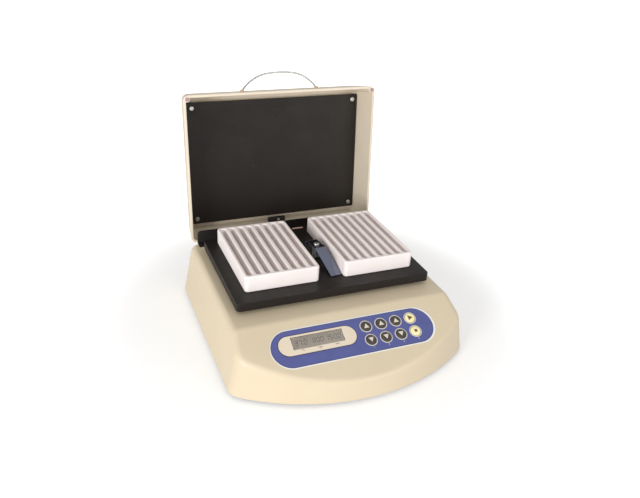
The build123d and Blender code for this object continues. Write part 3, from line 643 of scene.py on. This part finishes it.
def make_skins():
    """CAD nodes whose round faces need smooth shading."""
    wanted = [
        ("hinge_base_leaves", hinge_steel, "base"),
        ("lid_hinge_leaves", hinge_steel, "lid"),
        ("power_jack", dark_plastic, "base"),
        ("switch_body", dark_plastic, "base"),
        ("power_rocker", dark_plastic, "rocker"),
        ("seal_rail", rail_finish, "base"),
        ("thermal_cutout", ceramic_finish, "platform"),
        ("clip_post", turned_steel, "platform"),
        ("clip_spring", turned_steel, "platform"),
        ("rubber_feet", rubber_finish, "base"),
        ("cable_clamp", rail_finish, "lid"),
    ]
    for node, finish, body in wanted:
        dress(skin_of(node, node + "_skin"), finish, body, node)


# Control face


def stadium(name, width, height, low, high, sides=94):
    """Flat piece with round ends: a cylinder whose halves are pulled apart."""
    piece = add_rod(name, height / 2, low, high, sides)
    reach = (width - height) / 2
    for side in (-1, 1):
        pick(piece, "VERT", lambda at, way: at.x * side > 0)
        bpy.ops.transform.translate(value=(side * reach, 0, 0))
        end_edit()
    return piece


def open_ring(ring, name, width, height):
    """Cuts a stadium-shaped hole through a flat piece on the origin."""
    return cut(ring, [stadium(name, width, height, -1 * mm, 1 * mm)])


def make_overlay_edges():
    """Dark hairline and pale outline, wider on the right, that show round the blue film."""
    width, height = overlay_size
    fit = 0.05 * mm
    hairline = 1.2 * mm
    shift = 0.9 * mm
    top = 0.3 * mm
    dark = stadium("overlay_edge", width + hairline, height + hairline, 0.01 * mm, 0.36 * mm)
    open_ring(dark, "edge_hole", width + fit, height + fit)
    pale = stadium("overlay_outline", width + 4.6 * mm, height + 3.6 * mm, 0.02 * mm, top)
    move(pale, Matrix.Translation((shift, 0, 0)))
    round_edges(pale, 0.1 * mm, 2, lambda at, way: at.z > top - 0.02 * mm and abs(way.z) < 0.5)
    open_ring(pale, "outline_hole", width + hairline + fit, height + hairline + fit)
    for piece, finish in ((pale, outline_finish), (dark, rim_finish)):
        lay_on_face(smooth(piece), *overlay_middle)
        dress(piece, finish, "base")


def make_surround_line():
    """Thin dark line round the cream display surround."""
    width, height = surround_size
    fit = 0.05 * mm
    reach = 1.8 * mm
    line = stadium("surround_line", width + reach, height + reach, overlay_top, overlay_top + 0.12 * mm)
    open_ring(line, "line_hole", width + fit, height + fit)
    lay_on_face(line, *surround_middle)
    dress(line, rim_finish, "base")


def key_table():
    """Name and place of each key."""
    places = {}
    for column in range(4):
        x = key_first_x + column * key_pitch
        places["key_start" if column == 3 else f"key_up_{column + 1}"] = (x, key_up_s)
        places["key_stop" if column == 3 else f"key_down_{column + 1}"] = (x, key_down_s)
    return places


def model_cap():
    """Round cap with a rounded shoulder and a low dome."""
    cap = add_rod("cap", key_radius, -key_depth, key_proud, 64)
    shoulder = key_proud - 0.01 * mm
    round_edges(cap, 0.8 * mm, 5, lambda at, way: at.z > shoulder and abs(way.z) < 0.5)
    for step, rise in ((1.4, 0.16), (1.5, 0.09), (1.3, 0.04)):
        pick(cap, "FACE", lambda at, way: way.z > 0.9 and at.z > shoulder and at.xy.length < 0.1 * mm)
        bpy.ops.mesh.inset(thickness=step * mm)
        bpy.ops.transform.translate(value=(0, 0, rise * mm))
        end_edit()
    return smooth(cap, 40)


def model_ring():
    """Raised pale ring printed round each key."""
    deselect()
    bpy.ops.mesh.primitive_torus_add(
        major_radius=6.9 * mm, minor_radius=0.55 * mm, major_segments=72, minor_segments=12
    )
    ring = begin("ring")
    ring.scale = (1, 1, 0.45)
    return smooth(settle(ring), 60)


def model_arrow():
    """Triangle with softened corners, pointing up the slope."""
    arrow = add_rod("arrow", 3.7 * mm, 0, mark_thickness, 3)
    move(arrow, Matrix.Translation((0, -0.7 * mm, 0)))
    pick(arrow, "EDGE", lambda at, way: abs(way.z) > 0.9)
    bpy.ops.mesh.bevel(offset=0.35 * mm, segments=3, affect="EDGES")
    end_edit()
    return arrow


def make_keys():
    cap = model_cap()
    ring = model_ring()
    arrow = model_arrow()
    top = key_proud + key_dome
    half = 1.7 * mm
    for name, (x, s) in key_table().items():
        yellow = name in ("key_start", "key_stop")
        place = face_matrix @ Matrix.Translation((x, -s, 0))
        piece = copy_of(cap, name + "_cap", place)
        dress(piece, yellow_key_finish if yellow else dark_key_finish, name, name)
        lift = Matrix.Translation((0, 0, overlay_top))
        dress(copy_of(ring, name + "_ring", place @ lift), key_mark_finish, "base")
        if name == "key_stop":
            mark = add_block("stop_mark", (-half, -half, 0), (half, half, mark_thickness))
            round_edges(mark, 0.3 * mm, 3, lambda at, way: abs(way.z) > 0.9)
            mark = move(mark, place @ Matrix.Translation((0, 0, top)))
            dress(mark, brown_mark_finish, name)
            continue
        turn = 0.0
        if name == "key_start":
            turn = -pi / 2
        if name.startswith("key_down"):
            turn = pi
        spun = place @ Matrix.Translation((0, 0, top)) @ Matrix.Rotation(turn, 4, "Z")
        mark = copy_of(arrow, name + "_mark", spun)
        dress(mark, brown_mark_finish if yellow else key_mark_finish, name)
    for model in (cap, ring, arrow):
        bpy.data.objects.remove(model)


# Display


segment_table = {
    "0": "abcdef", "1": "bc", "2": "abged", "3": "abgcd", "4": "fgbc", "5": "afgcd",
    "6": "afgedc", "7": "abc", "8": "abcdefg", "9": "abcdfg",
}


def segment_places(width, height):
    """Middle and turn of each bar of a seven-bar digit."""
    across, up = width / 2, height / 2
    return {
        "a": (0, up, 0), "g": (0, 0, 0), "d": (0, -up, 0),
        "f": (-across, up / 2, 1), "b": (across, up / 2, 1),
        "e": (-across, -up / 2, 1), "c": (across, -up / 2, 1),
    }


def make_digits():
    """Plain numbers on the display: a temperature, a speed and a time."""
    film = 0.05 * mm
    bar = add_rod("bar", 0.36 * mm, 0, film, 6)
    for side in (-1, 1):
        pick(bar, "VERT", lambda at, way: at.x * side > 0.1 * mm)
        bpy.ops.transform.translate(value=(side * 0.85 * mm, 0, 0))
        end_edit()
    dot = add_rod("dot", 0.38 * mm, 0, film, 16)
    width, height = 2.9 * mm, 5.9 * mm
    digit_gap = 1.6 * mm
    dot_gap = 1.2 * mm
    lean = Matrix(((1, 0.12, 0, 0), (0, 1, 0, 0), (0, 0, 1, 0), (0, 0, 0, 1)))
    bars = []
    for text, left in (("37.0", -26.0 * mm), ("800", -5.5 * mm), ("15:00", 9.5 * mm)):
        x = left
        for sign in text:
            if sign in ".:":
                spots = (-height / 2,) if sign == "." else (-height / 5, height / 5)
                for spot in spots:
                    place = lean @ Matrix.Translation((x - 0.7 * mm, spot, 0))
                    bars.append(copy_of(dot, "segment", place))
                x += dot_gap
                continue
            for key in segment_table[sign]:
                across, up, upright = segment_places(width, height)[key]
                turn = Matrix.Rotation(upright * pi / 2, 4, "Z")
                place = lean @ Matrix.Translation((x + width / 2 + across, up, 0)) @ turn
                bars.append(copy_of(bar, "segment", place))
            x += width + digit_gap
    digits = join(bars, "display_digits")
    for model in (bar, dot):
        bpy.data.objects.remove(model)
    lay_on_face(digits, *window_middle, display_glass + 0.01 * mm)
    dress(digits, digit_finish, "base")


def printed_text(name, text, size, x, s, height, finish):
    """Small generic lettering, such as a unit, raised by a film's thickness."""
    deselect()
    bpy.ops.object.text_add()
    letters = begin(name)
    letters.data.body = text
    letters.data.size = size
    letters.data.extrude = 0.03 * mm
    letters.data.align_x = "CENTER"
    letters.data.align_y = "CENTER"
    only(letters)
    bpy.ops.object.convert(target="MESH")
    letters = begin(name)
    lay_on_face(letters, x, s, height)
    dress(letters, finish, "base")


def make_legends():
    """Units beside the display and plain numbers under the keys."""
    x, s = window_middle
    units = (("unit_left", "°C", -0.33), ("unit_middle", "rpm", 0.0), ("unit_right", "min", 0.33))
    for label, text, across in units:
        place = x + across * window_size[0]
        printed_text(label, text, 2.9 * mm, place, s + legend_drop, surround_top + print_gap, rim_finish)
    low_s, top = key_down_s + legend_drop, overlay_top + print_gap
    for index in range(4):
        place = key_first_x + index * key_pitch
        printed_text(
            f"column_{index + 1}", str(index + 1), 2.8 * mm, place, low_s, top, key_mark_finish
        )


# Platform, plates and clip


def make_platform():
    plate = add_block("platform_slab", platform_low, platform_high)
    top = platform_high.z - 0.01 * mm
    round_edges(plate, 5.0 * mm, 8, lambda at, way: abs(way.z) > 0.9)
    round_edges(plate, 0.7 * mm, 3, lambda at, way: at.z > top and abs(way.z) < 0.5)
    dress(smooth(plate), platform_finish, "platform", "platform_plate")


slot_count = 8
slot_pitch = 10.85 * mm
slot_width = 6.2 * mm
slot_end_wall = 4.5 * mm
plate_floor = 3.0 * mm
plate_corner = 4.5 * mm
rib_round = 1.7 * mm


def make_slotted_plate(name, low, high, body):
    """Block with rounded uprights, eight long round-ended slots and soft edges."""
    plate = add_block(name, low, high)
    round_edges(plate, plate_corner, 8, lambda at, way: abs(way.z) > 0.9)
    middle = (low + high) / 2
    length = high.y - low.y - 2 * slot_end_wall
    cutters = []
    for index in range(slot_count):
        cutter = stadium("slot", length, slot_width, low.z + plate_floor, high.z + 2 * mm, 22)
        x = middle.x + (index - (slot_count - 1) / 2) * slot_pitch
        turn = Matrix.Rotation(pi / 2, 4, "Z")
        cutters.append(move(cutter, Matrix.Translation((x, middle.y, 0)) @ turn))
    cut(plate, [join(cutters, "slots")])
    soften(plate, rib_round, 5, 50)
    dress(smooth(plate, 50), plate_finish, body, body)


clip_at = Vector(joints["clip_turn"]["pos_m"])
clip_turn = radians(7.0)
clip_rise = 17.6 * mm
clip_back = 13.0 * mm
clip_bend = 9.6 * mm
clip_tip = 51.5 * mm
clip_strip = 1.0 * mm
clip_back_half = 6.85 * mm
clip_tip_half = 7.3 * mm


def make_clip():
    """Bent steel strip: rolled flange behind, flat top, long sloping blade in front."""
    deselect()
    bpy.ops.mesh.primitive_plane_add(size=1, location=(0, 0, 0))
    strip = begin("clip_strip")
    strip.scale = (2 * clip_back_half, clip_back + clip_bend, 1)
    strip.location = (0, (clip_back - clip_bend) / 2, clip_rise - clip_strip / 2)
    settle(strip)
    pick(strip, "EDGE", lambda at, way: at.y < -clip_bend + 0.01 * mm)
    drop = clip_rise - clip_strip - 0.5 * mm
    bpy.ops.mesh.extrude_region_move(TRANSFORM_OT_translate={"value": (0, clip_bend - clip_tip, -drop)})
    bpy.ops.transform.resize(value=(clip_tip_half / clip_back_half, 1, 1))
    end_edit()
    pick(strip, "EDGE", lambda at, way: at.y > clip_back - 0.01 * mm)
    for reach, fall in ((1.6, -1.2), (0.9, -2.4), (-0.3, -2.6)):
        bpy.ops.mesh.extrude_region_move(TRANSFORM_OT_translate={"value": (0, reach * mm, fall * mm)})
    end_edit()
    round_edges(strip, 3.5 * mm, 8, lambda at, way: abs(at.y + clip_bend) < 0.01 * mm and abs(way.x) > 0.9)
    round_edges(strip, 1.4 * mm, 5, lambda at, way: abs(at.y - clip_back) < 0.01 * mm and abs(way.x) > 0.9)
    modify(strip, "SOLIDIFY", thickness=clip_strip, offset=0.0)
    clean(strip)
    soften(strip, 0.18 * mm, 2, 50)
    move(strip, Matrix.Translation(clip_at) @ Matrix.Rotation(clip_turn, 4, "Z"))
    dress(smooth(strip, 35), polished_steel, "clip", "plate_clip")


def pan_screw(name, radius, height):
    """Pan head with a cross recess, its seat at the origin and its head up."""
    head = add_rod(name, radius, 0, height, 40)
    round_edges(head, height * 0.6, 5, lambda at, way: at.z > height - 0.01 * mm and abs(way.z) < 0.5)
    arm = radius * 0.62
    width = radius * 0.16
    cutters = [
        add_block("recess", (-arm, -width, height * 0.45), (arm, width, height * 2)),
        add_block("recess", (-width, -arm, height * 0.45), (width, arm, height * 2)),
    ]
    cut(head, cutters)
    return smooth(head, 40)


def make_clip_screw():
    low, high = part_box("clip_screw")
    screw = pan_screw("clip_screw_head", 3.5 * mm, 2.2 * mm)
    middle = (low + high) / 2
    move(screw, Matrix.Translation((middle.x, middle.y, low.z)) @ Matrix.Rotation(0.5, 4, "Z"))
    dress(screw, screw_steel, "platform", "clip_screw")


# Lid


def make_lid_shell():
    """Open box with drafted walls, rounded corners and a rounded roof."""
    half = lid_width / 2
    draw_in = lid_depth * tan(lid_draft)
    roof_z = lid_low_z + lid_depth
    shell = add_block("lid_cover", (-half, lid_front_y, lid_low_z), (half, lid_rear_y, roof_z))
    pick(shell, "VERT", lambda at, way: at.z > roof_z - mm and at.y < lid_front_y + mm)
    bpy.ops.transform.translate(value=(0, draw_in, 0))
    end_edit()
    pick(shell, "VERT", lambda at, way: at.z > roof_z - mm)
    share = (half - draw_in) / half
    bpy.ops.transform.resize(value=(share, 1, 1), center_override=(0, 0, roof_z))
    end_edit()
    round_edges(shell, lid_corner, 8, lambda at, way: abs(way.z) > 0.9)
    round_edges(shell, roof_round, 8, lambda at, way: at.z > roof_z - 0.01 * mm and abs(way.z) < 0.5)
    pick(shell, "FACE", lambda at, way: way.z < -0.9)
    bpy.ops.mesh.delete(type="FACE")
    end_edit()
    modify(shell, "SOLIDIFY", thickness=lid_wall, offset=-1.0, use_even_offset=True)
    rim = lid_low_z + 0.01 * mm
    round_edges(shell, 0.8 * mm, 3, lambda at, way: at.z < rim and abs(way.z) < 0.5)
    move(shell, lid_open)
    dress(smooth(shell, 40), lid_finish, "lid", "lid_shell")


def make_lid_posts():
    """Corner posts that follow the walls' draft, each with a pale ring and a bumper in its cupped end."""
    post_high = panel_z + 8 * mm
    lean = (post_high - lid_low_z) * tan(lid_draft)
    seat = 1.5 * mm
    bumper_low = housing_top + 0.3 * mm
    for side, label in ((-1, "left"), (1, "right")):
        x = side * (lid_width / 2 - bumper_inset)
        y = lid_front_y + bumper_inset
        post = add_rod("post", bumper_post_radius, lid_low_z + 0.05 * mm, post_high, 48, (x, y))
        post.name = f"bumper_post_{label}"
        pick(post, "VERT", lambda at, way: at.z > panel_z)
        bpy.ops.transform.translate(value=(-side * lean, lean, 0))
        end_edit()
        pick(post, "FACE", lambda at, way: way.z < -0.9)
        bpy.ops.mesh.inset(thickness=bumper_post_radius - bumper_radius)
        bpy.ops.transform.translate(value=(0, 0, seat))
        end_edit()
        soften(post, 0.3 * mm, 2, 50)
        move(post, lid_open)
        dress(smooth(post, 40), lid_finish, "lid")
        deselect()
        bpy.ops.mesh.primitive_torus_add(
            major_radius=3.05 * mm, minor_radius=0.5 * mm, major_segments=48, minor_segments=12,
            location=(x, y, lid_low_z + 0.1 * mm),
        )
        ring = settle(begin(f"bumper_ring_{label}"))
        dress(smooth(move(ring, lid_open), 60), outline_finish, "lid")
        bumper = add_rod("bumper", bumper_radius, bumper_low, lid_low_z + seat, 40, (x, y))
        bumper.name = f"lid_bumper_{label}"
        edge = bumper_low + 0.01 * mm
        round_edges(bumper, 0.5 * mm, 3, lambda at, way: at.z < edge and abs(way.z) < 0.5)
        move(bumper, lid_open)
        if side < 0:
            dress(smooth(bumper, 40), bumper_finish, "lid", "lid_bumpers")
        else:
            dress(smooth(bumper, 40), bumper_finish, "lid")


def make_heater_panel():
    back_z = panel_z + panel_thickness
    panel = add_block(
        "heater_plate", (-panel_half, panel_front_y, panel_z), (panel_half, panel_rear_y, back_z)
    )
    round_edges(panel, 1.2 * mm, 3, lambda at, way: abs(way.z) > 0.9)
    round_edges(panel, 0.5 * mm, 2, lambda at, way: at.z < panel_z + 0.01 * mm and abs(way.z) < 0.5)
    move(panel, lid_open)
    dress(smooth(panel), panel_finish, "lid", "heater_panel")
    screw = pan_screw("panel_screw", 3.0 * mm, 1.2 * mm)
    flip = Matrix.Rotation(pi, 4, "X")
    spots = []
    for side in (-1, 1):
        for y in (panel_front_y + panel_screw_inset, panel_rear_y - panel_screw_inset):
            place = Matrix.Translation((side * (panel_half - panel_screw_inset), y, panel_z))
            spin = Matrix.Rotation(0.7 * side + 30 * y, 4, "Z")
            spots.append(copy_of(screw, "panel_screw", lid_open @ place @ spin @ flip))
    bpy.data.objects.remove(screw)
    dress(join(spots, "panel_screw_heads"), screw_steel, "lid", "panel_screws")


def make_handle():
    """Wire bail: straight feet, then a low arch, as one bevelled curve made into a mesh."""
    deselect()
    bpy.ops.curve.primitive_nurbs_path_add()
    wire = begin("handle_wire")
    span, rise = handle_half_span, handle_rise
    half = [
        (-1, -0.05), (-1, 0.02), (-0.97, 0.14), (-0.86, 0.40), (-0.69, 0.70), (-0.46, 0.92), (-0.2, 0.985)
    ]
    shape = half + [(0, 0.995)] + [(-x, y) for x, y in reversed(half)]
    curve = wire.data
    curve.dimensions = "3D"
    curve.splines.clear()
    spline = curve.splines.new("NURBS")
    spline.points.add(len(shape) - 1)
    for point, (across, up) in zip(spline.points, shape):
        point.co = (handle_middle + across * span, handle_wall_y - up * rise, handle_z, 1)
    spline.order_u = 4
    spline.use_endpoint_u = True
    spline.resolution_u = 8
    curve.bevel_depth = wire_radius
    curve.bevel_resolution = 5
    curve.use_fill_caps = True
    wire.location = (0, 0, 0)
    only(wire)
    bpy.ops.object.convert(target="MESH")
    wire = begin("handle_wire")
    move(wire, lid_open)
    dress(smooth(wire, 60), wire_steel, "lid", "lid_handle")
    ferrules = []
    for side in (-1, 1):
        low, high = -0.6 * mm, 2.6 * mm
        sleeve = add_rod("ferrule", 2.5 * mm, low, high, 36)
        round_edges(sleeve, 0.6 * mm, 3, lambda at, way: at.z > high - 0.01 * mm and abs(way.z) < 0.5)
        pick(sleeve, "FACE", lambda at, way: way.z > 0.9 and at.z > high - 0.01 * mm)
        bpy.ops.mesh.inset(thickness=0.55 * mm)
        bpy.ops.transform.translate(value=(0, 0, -0.4 * mm))
        end_edit()
        place = Matrix.Translation((handle_middle + side * span, handle_wall_y, handle_z))
        out = Matrix.Rotation(pi / 2, 4, "X")
        ferrules.append(move(sleeve, lid_open @ place @ out))
    dress(smooth(join(ferrules, "handle_sleeves"), 40), ferrule_finish, "lid", "handle_ferrules")


def make_hinge_screws():
    """Small screws through the hinge leaves, on the housing and on the lid."""
    screw = pan_screw("hinge_screw", 1.7 * mm, 0.9 * mm)
    back = Matrix.Rotation(-pi / 2, 4, "X")
    drop = 10.5 * mm
    on_housing, on_lid = [], []
    for middle in (-85.0 * mm, 85.0 * mm):
        for across in (-14.0 * mm, 0.0, 14.0 * mm):
            x = middle + across
            low_place = Matrix.Translation((x, hinge_at.y - hinge_stand_off, hinge_at.z - drop)) @ back
            on_housing.append(copy_of(screw, "hinge_screw", low_place))
            high_place = Matrix.Translation((x, lid_rear_y + 0.8 * mm, hinge_at.z + drop)) @ back
            on_lid.append(copy_of(screw, "hinge_screw", lid_open @ high_place))
    bpy.data.objects.remove(screw)
    dress(join(on_housing, "housing_hinge_screws"), screw_steel, "base")
    dress(join(on_lid, "lid_hinge_screws"), screw_steel, "lid")


# Back wall


def make_rail_screws():
    """Three screws through the rail's foot."""
    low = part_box("seal_rail")[0]
    inset = 5.0 * mm
    sheet = 1.6 * mm
    screw = pan_screw("rail_screw", 2.2 * mm, 1.2 * mm)
    spots = []
    for x in (-96.0 * mm, 0.0, 96.0 * mm):
        place = Matrix.Translation((x, low.y + inset, housing_top + sheet))
        spots.append(copy_of(screw, "rail_screw", place))
    bpy.data.objects.remove(screw)
    dress(join(spots, "rail_screw_heads"), screw_steel, "base")


def make_clamp_screw():
    """Bright screw on the lid's cable clamp."""
    screw = pan_screw("clamp_screw", 1.8 * mm, 1.0 * mm)
    place = Matrix.Translation((2.2 * mm, lid_rear_y - lid_wall - 3.0 * mm, lid_low_z + 31.0 * mm))
    flip = Matrix.Rotation(pi, 4, "X")
    dress(move(screw, lid_open @ place @ flip), screw_steel, "lid")


# Stage, light and camera


def make_stage():
    """Pale floor, white to the camera away from the object. Near the object its glow is lower: painted shade,
    a darker disc round it, where the object's real soft shadow also shows.
    """
    # Glow near the object, lower than far off: painted shade round the object.
    painted_shade_glow = 0.25
    deselect()
    bpy.ops.mesh.primitive_plane_add(size=12, location=(0, 0, -0.0002))
    floor = begin("floor")
    settle(floor)
    material = bpy.data.materials.new("pale_floor")
    material.use_nodes = True
    tree = material.node_tree
    tree.nodes.remove(tree.nodes["Principled BSDF"])
    matte = add_node(tree, "ShaderNodeBsdfDiffuse", Color=(0.92, 0.92, 0.92, 1))
    glow = tree.nodes.new("ShaderNodeEmission")
    path = tree.nodes.new("ShaderNodeLightPath")
    seen = add_node(tree, "ShaderNodeMath", operation="MAXIMUM")
    tree.links.new(path.outputs["Is Camera Ray"], seen.inputs[0])
    tree.links.new(path.outputs["Is Transmission Ray"], seen.inputs[1])
    place = tree.nodes.new("ShaderNodeTexCoord")
    reach = add_node(tree, "ShaderNodeVectorMath", operation="LENGTH")
    tree.links.new(place.outputs["Object"], reach.inputs[0])
    # Glow grows with distance from the middle; the lower glow near the object paints a darker disc of shade
    # there.
    level = add_node(tree, "ShaderNodeMapRange", {"Value": reach.outputs["Value"]})
    level.interpolation_type = "SMOOTHSTEP"
    level.inputs["From Min"].default_value = 0.22
    level.inputs["From Max"].default_value = 0.42
    level.inputs["To Min"].default_value = painted_shade_glow
    level.inputs["To Max"].default_value = 1.0
    lit = add_node(tree, "ShaderNodeMath", operation="MULTIPLY")
    tree.links.new(seen.outputs[0], lit.inputs[0])
    tree.links.new(level.outputs["Result"], lit.inputs[1])
    tree.links.new(lit.outputs[0], glow.inputs["Strength"])
    total = tree.nodes.new("ShaderNodeAddShader")
    tree.links.new(matte.outputs[0], total.inputs[0])
    tree.links.new(glow.outputs[0], total.inputs[1])
    tree.links.new(total.outputs[0], tree.nodes["Material Output"].inputs["Surface"])
    floor.data.materials.append(material)


def make_world():
    """White to the camera and through glass, a plain level of light for the rest."""
    world = bpy.data.worlds.new("studio")
    bpy.context.scene.world = world
    world.use_nodes = True
    tree = world.node_tree
    path = tree.nodes.new("ShaderNodeLightPath")
    seen = add_node(tree, "ShaderNodeMath", operation="MAXIMUM")
    tree.links.new(path.outputs["Is Camera Ray"], seen.inputs[0])
    tree.links.new(path.outputs["Is Transmission Ray"], seen.inputs[1])
    level = add_node(tree, "ShaderNodeMapRange")
    tree.links.new(seen.outputs[0], level.inputs["Value"])
    level.inputs["To Min"].default_value = 0.62
    level.inputs["To Max"].default_value = 1.0
    shade = tree.nodes["Background"]
    tree.links.new(level.outputs["Result"], shade.inputs["Strength"])
    shade.inputs["Color"].default_value = (1, 1, 1, 1)


def add_lamp(name, place, target, size, power):
    data = bpy.data.lights.new(name, "AREA")
    data.shape = "SQUARE"
    data.size = size
    data.energy = power
    lamp = bpy.data.objects.new(name, data)
    bpy.context.scene.collection.objects.link(lamp)
    lamp.location = place
    lamp.rotation_euler = (Vector(target) - Vector(place)).to_track_quat("-Z", "Y").to_euler()


def make_lights():
    target = (0, 0, 0.08)
    add_lamp("key_light", (-1.75, -1.3, 0.5), target, 0.8, 28)
    add_lamp("fill_light", (0.9, -1.8, 0.45), target, 1.0, 9)


def make_camera():
    """Camera where the photograph was taken from."""
    data = bpy.data.cameras.new("photo_camera")
    data.lens = 37.28
    data.sensor_width = 36.0
    data.clip_start = 0.01
    data.clip_end = 50
    camera = bpy.data.objects.new("photo_camera", data)
    bpy.context.scene.collection.objects.link(camera)
    camera.location = (-282.53 * mm, front_y - 588.31 * mm, 477.22 * mm)
    camera.rotation_euler = (radians(61.835), radians(-3.092), radians(-21.894))
    bpy.context.scene.camera = camera


make_camera()
make_stage()
make_world()
make_lights()
plain_nodes()
make_skins()
make_housing()
make_overlay_edges()
make_surround_line()
make_keys()
make_digits()
make_legends()
make_platform()
make_slotted_plate("left_plate", left_low, left_high, "plate_left")
make_slotted_plate("right_plate", right_low, right_high, "plate_right")
make_clip()
make_clip_screw()
make_lid_shell()
make_lid_posts()
make_heater_panel()
make_handle()
make_hinge_screws()
make_rail_screws()
make_clamp_screw()
bpy.context.scene.view_settings.view_transform = "Standard"

deselect()
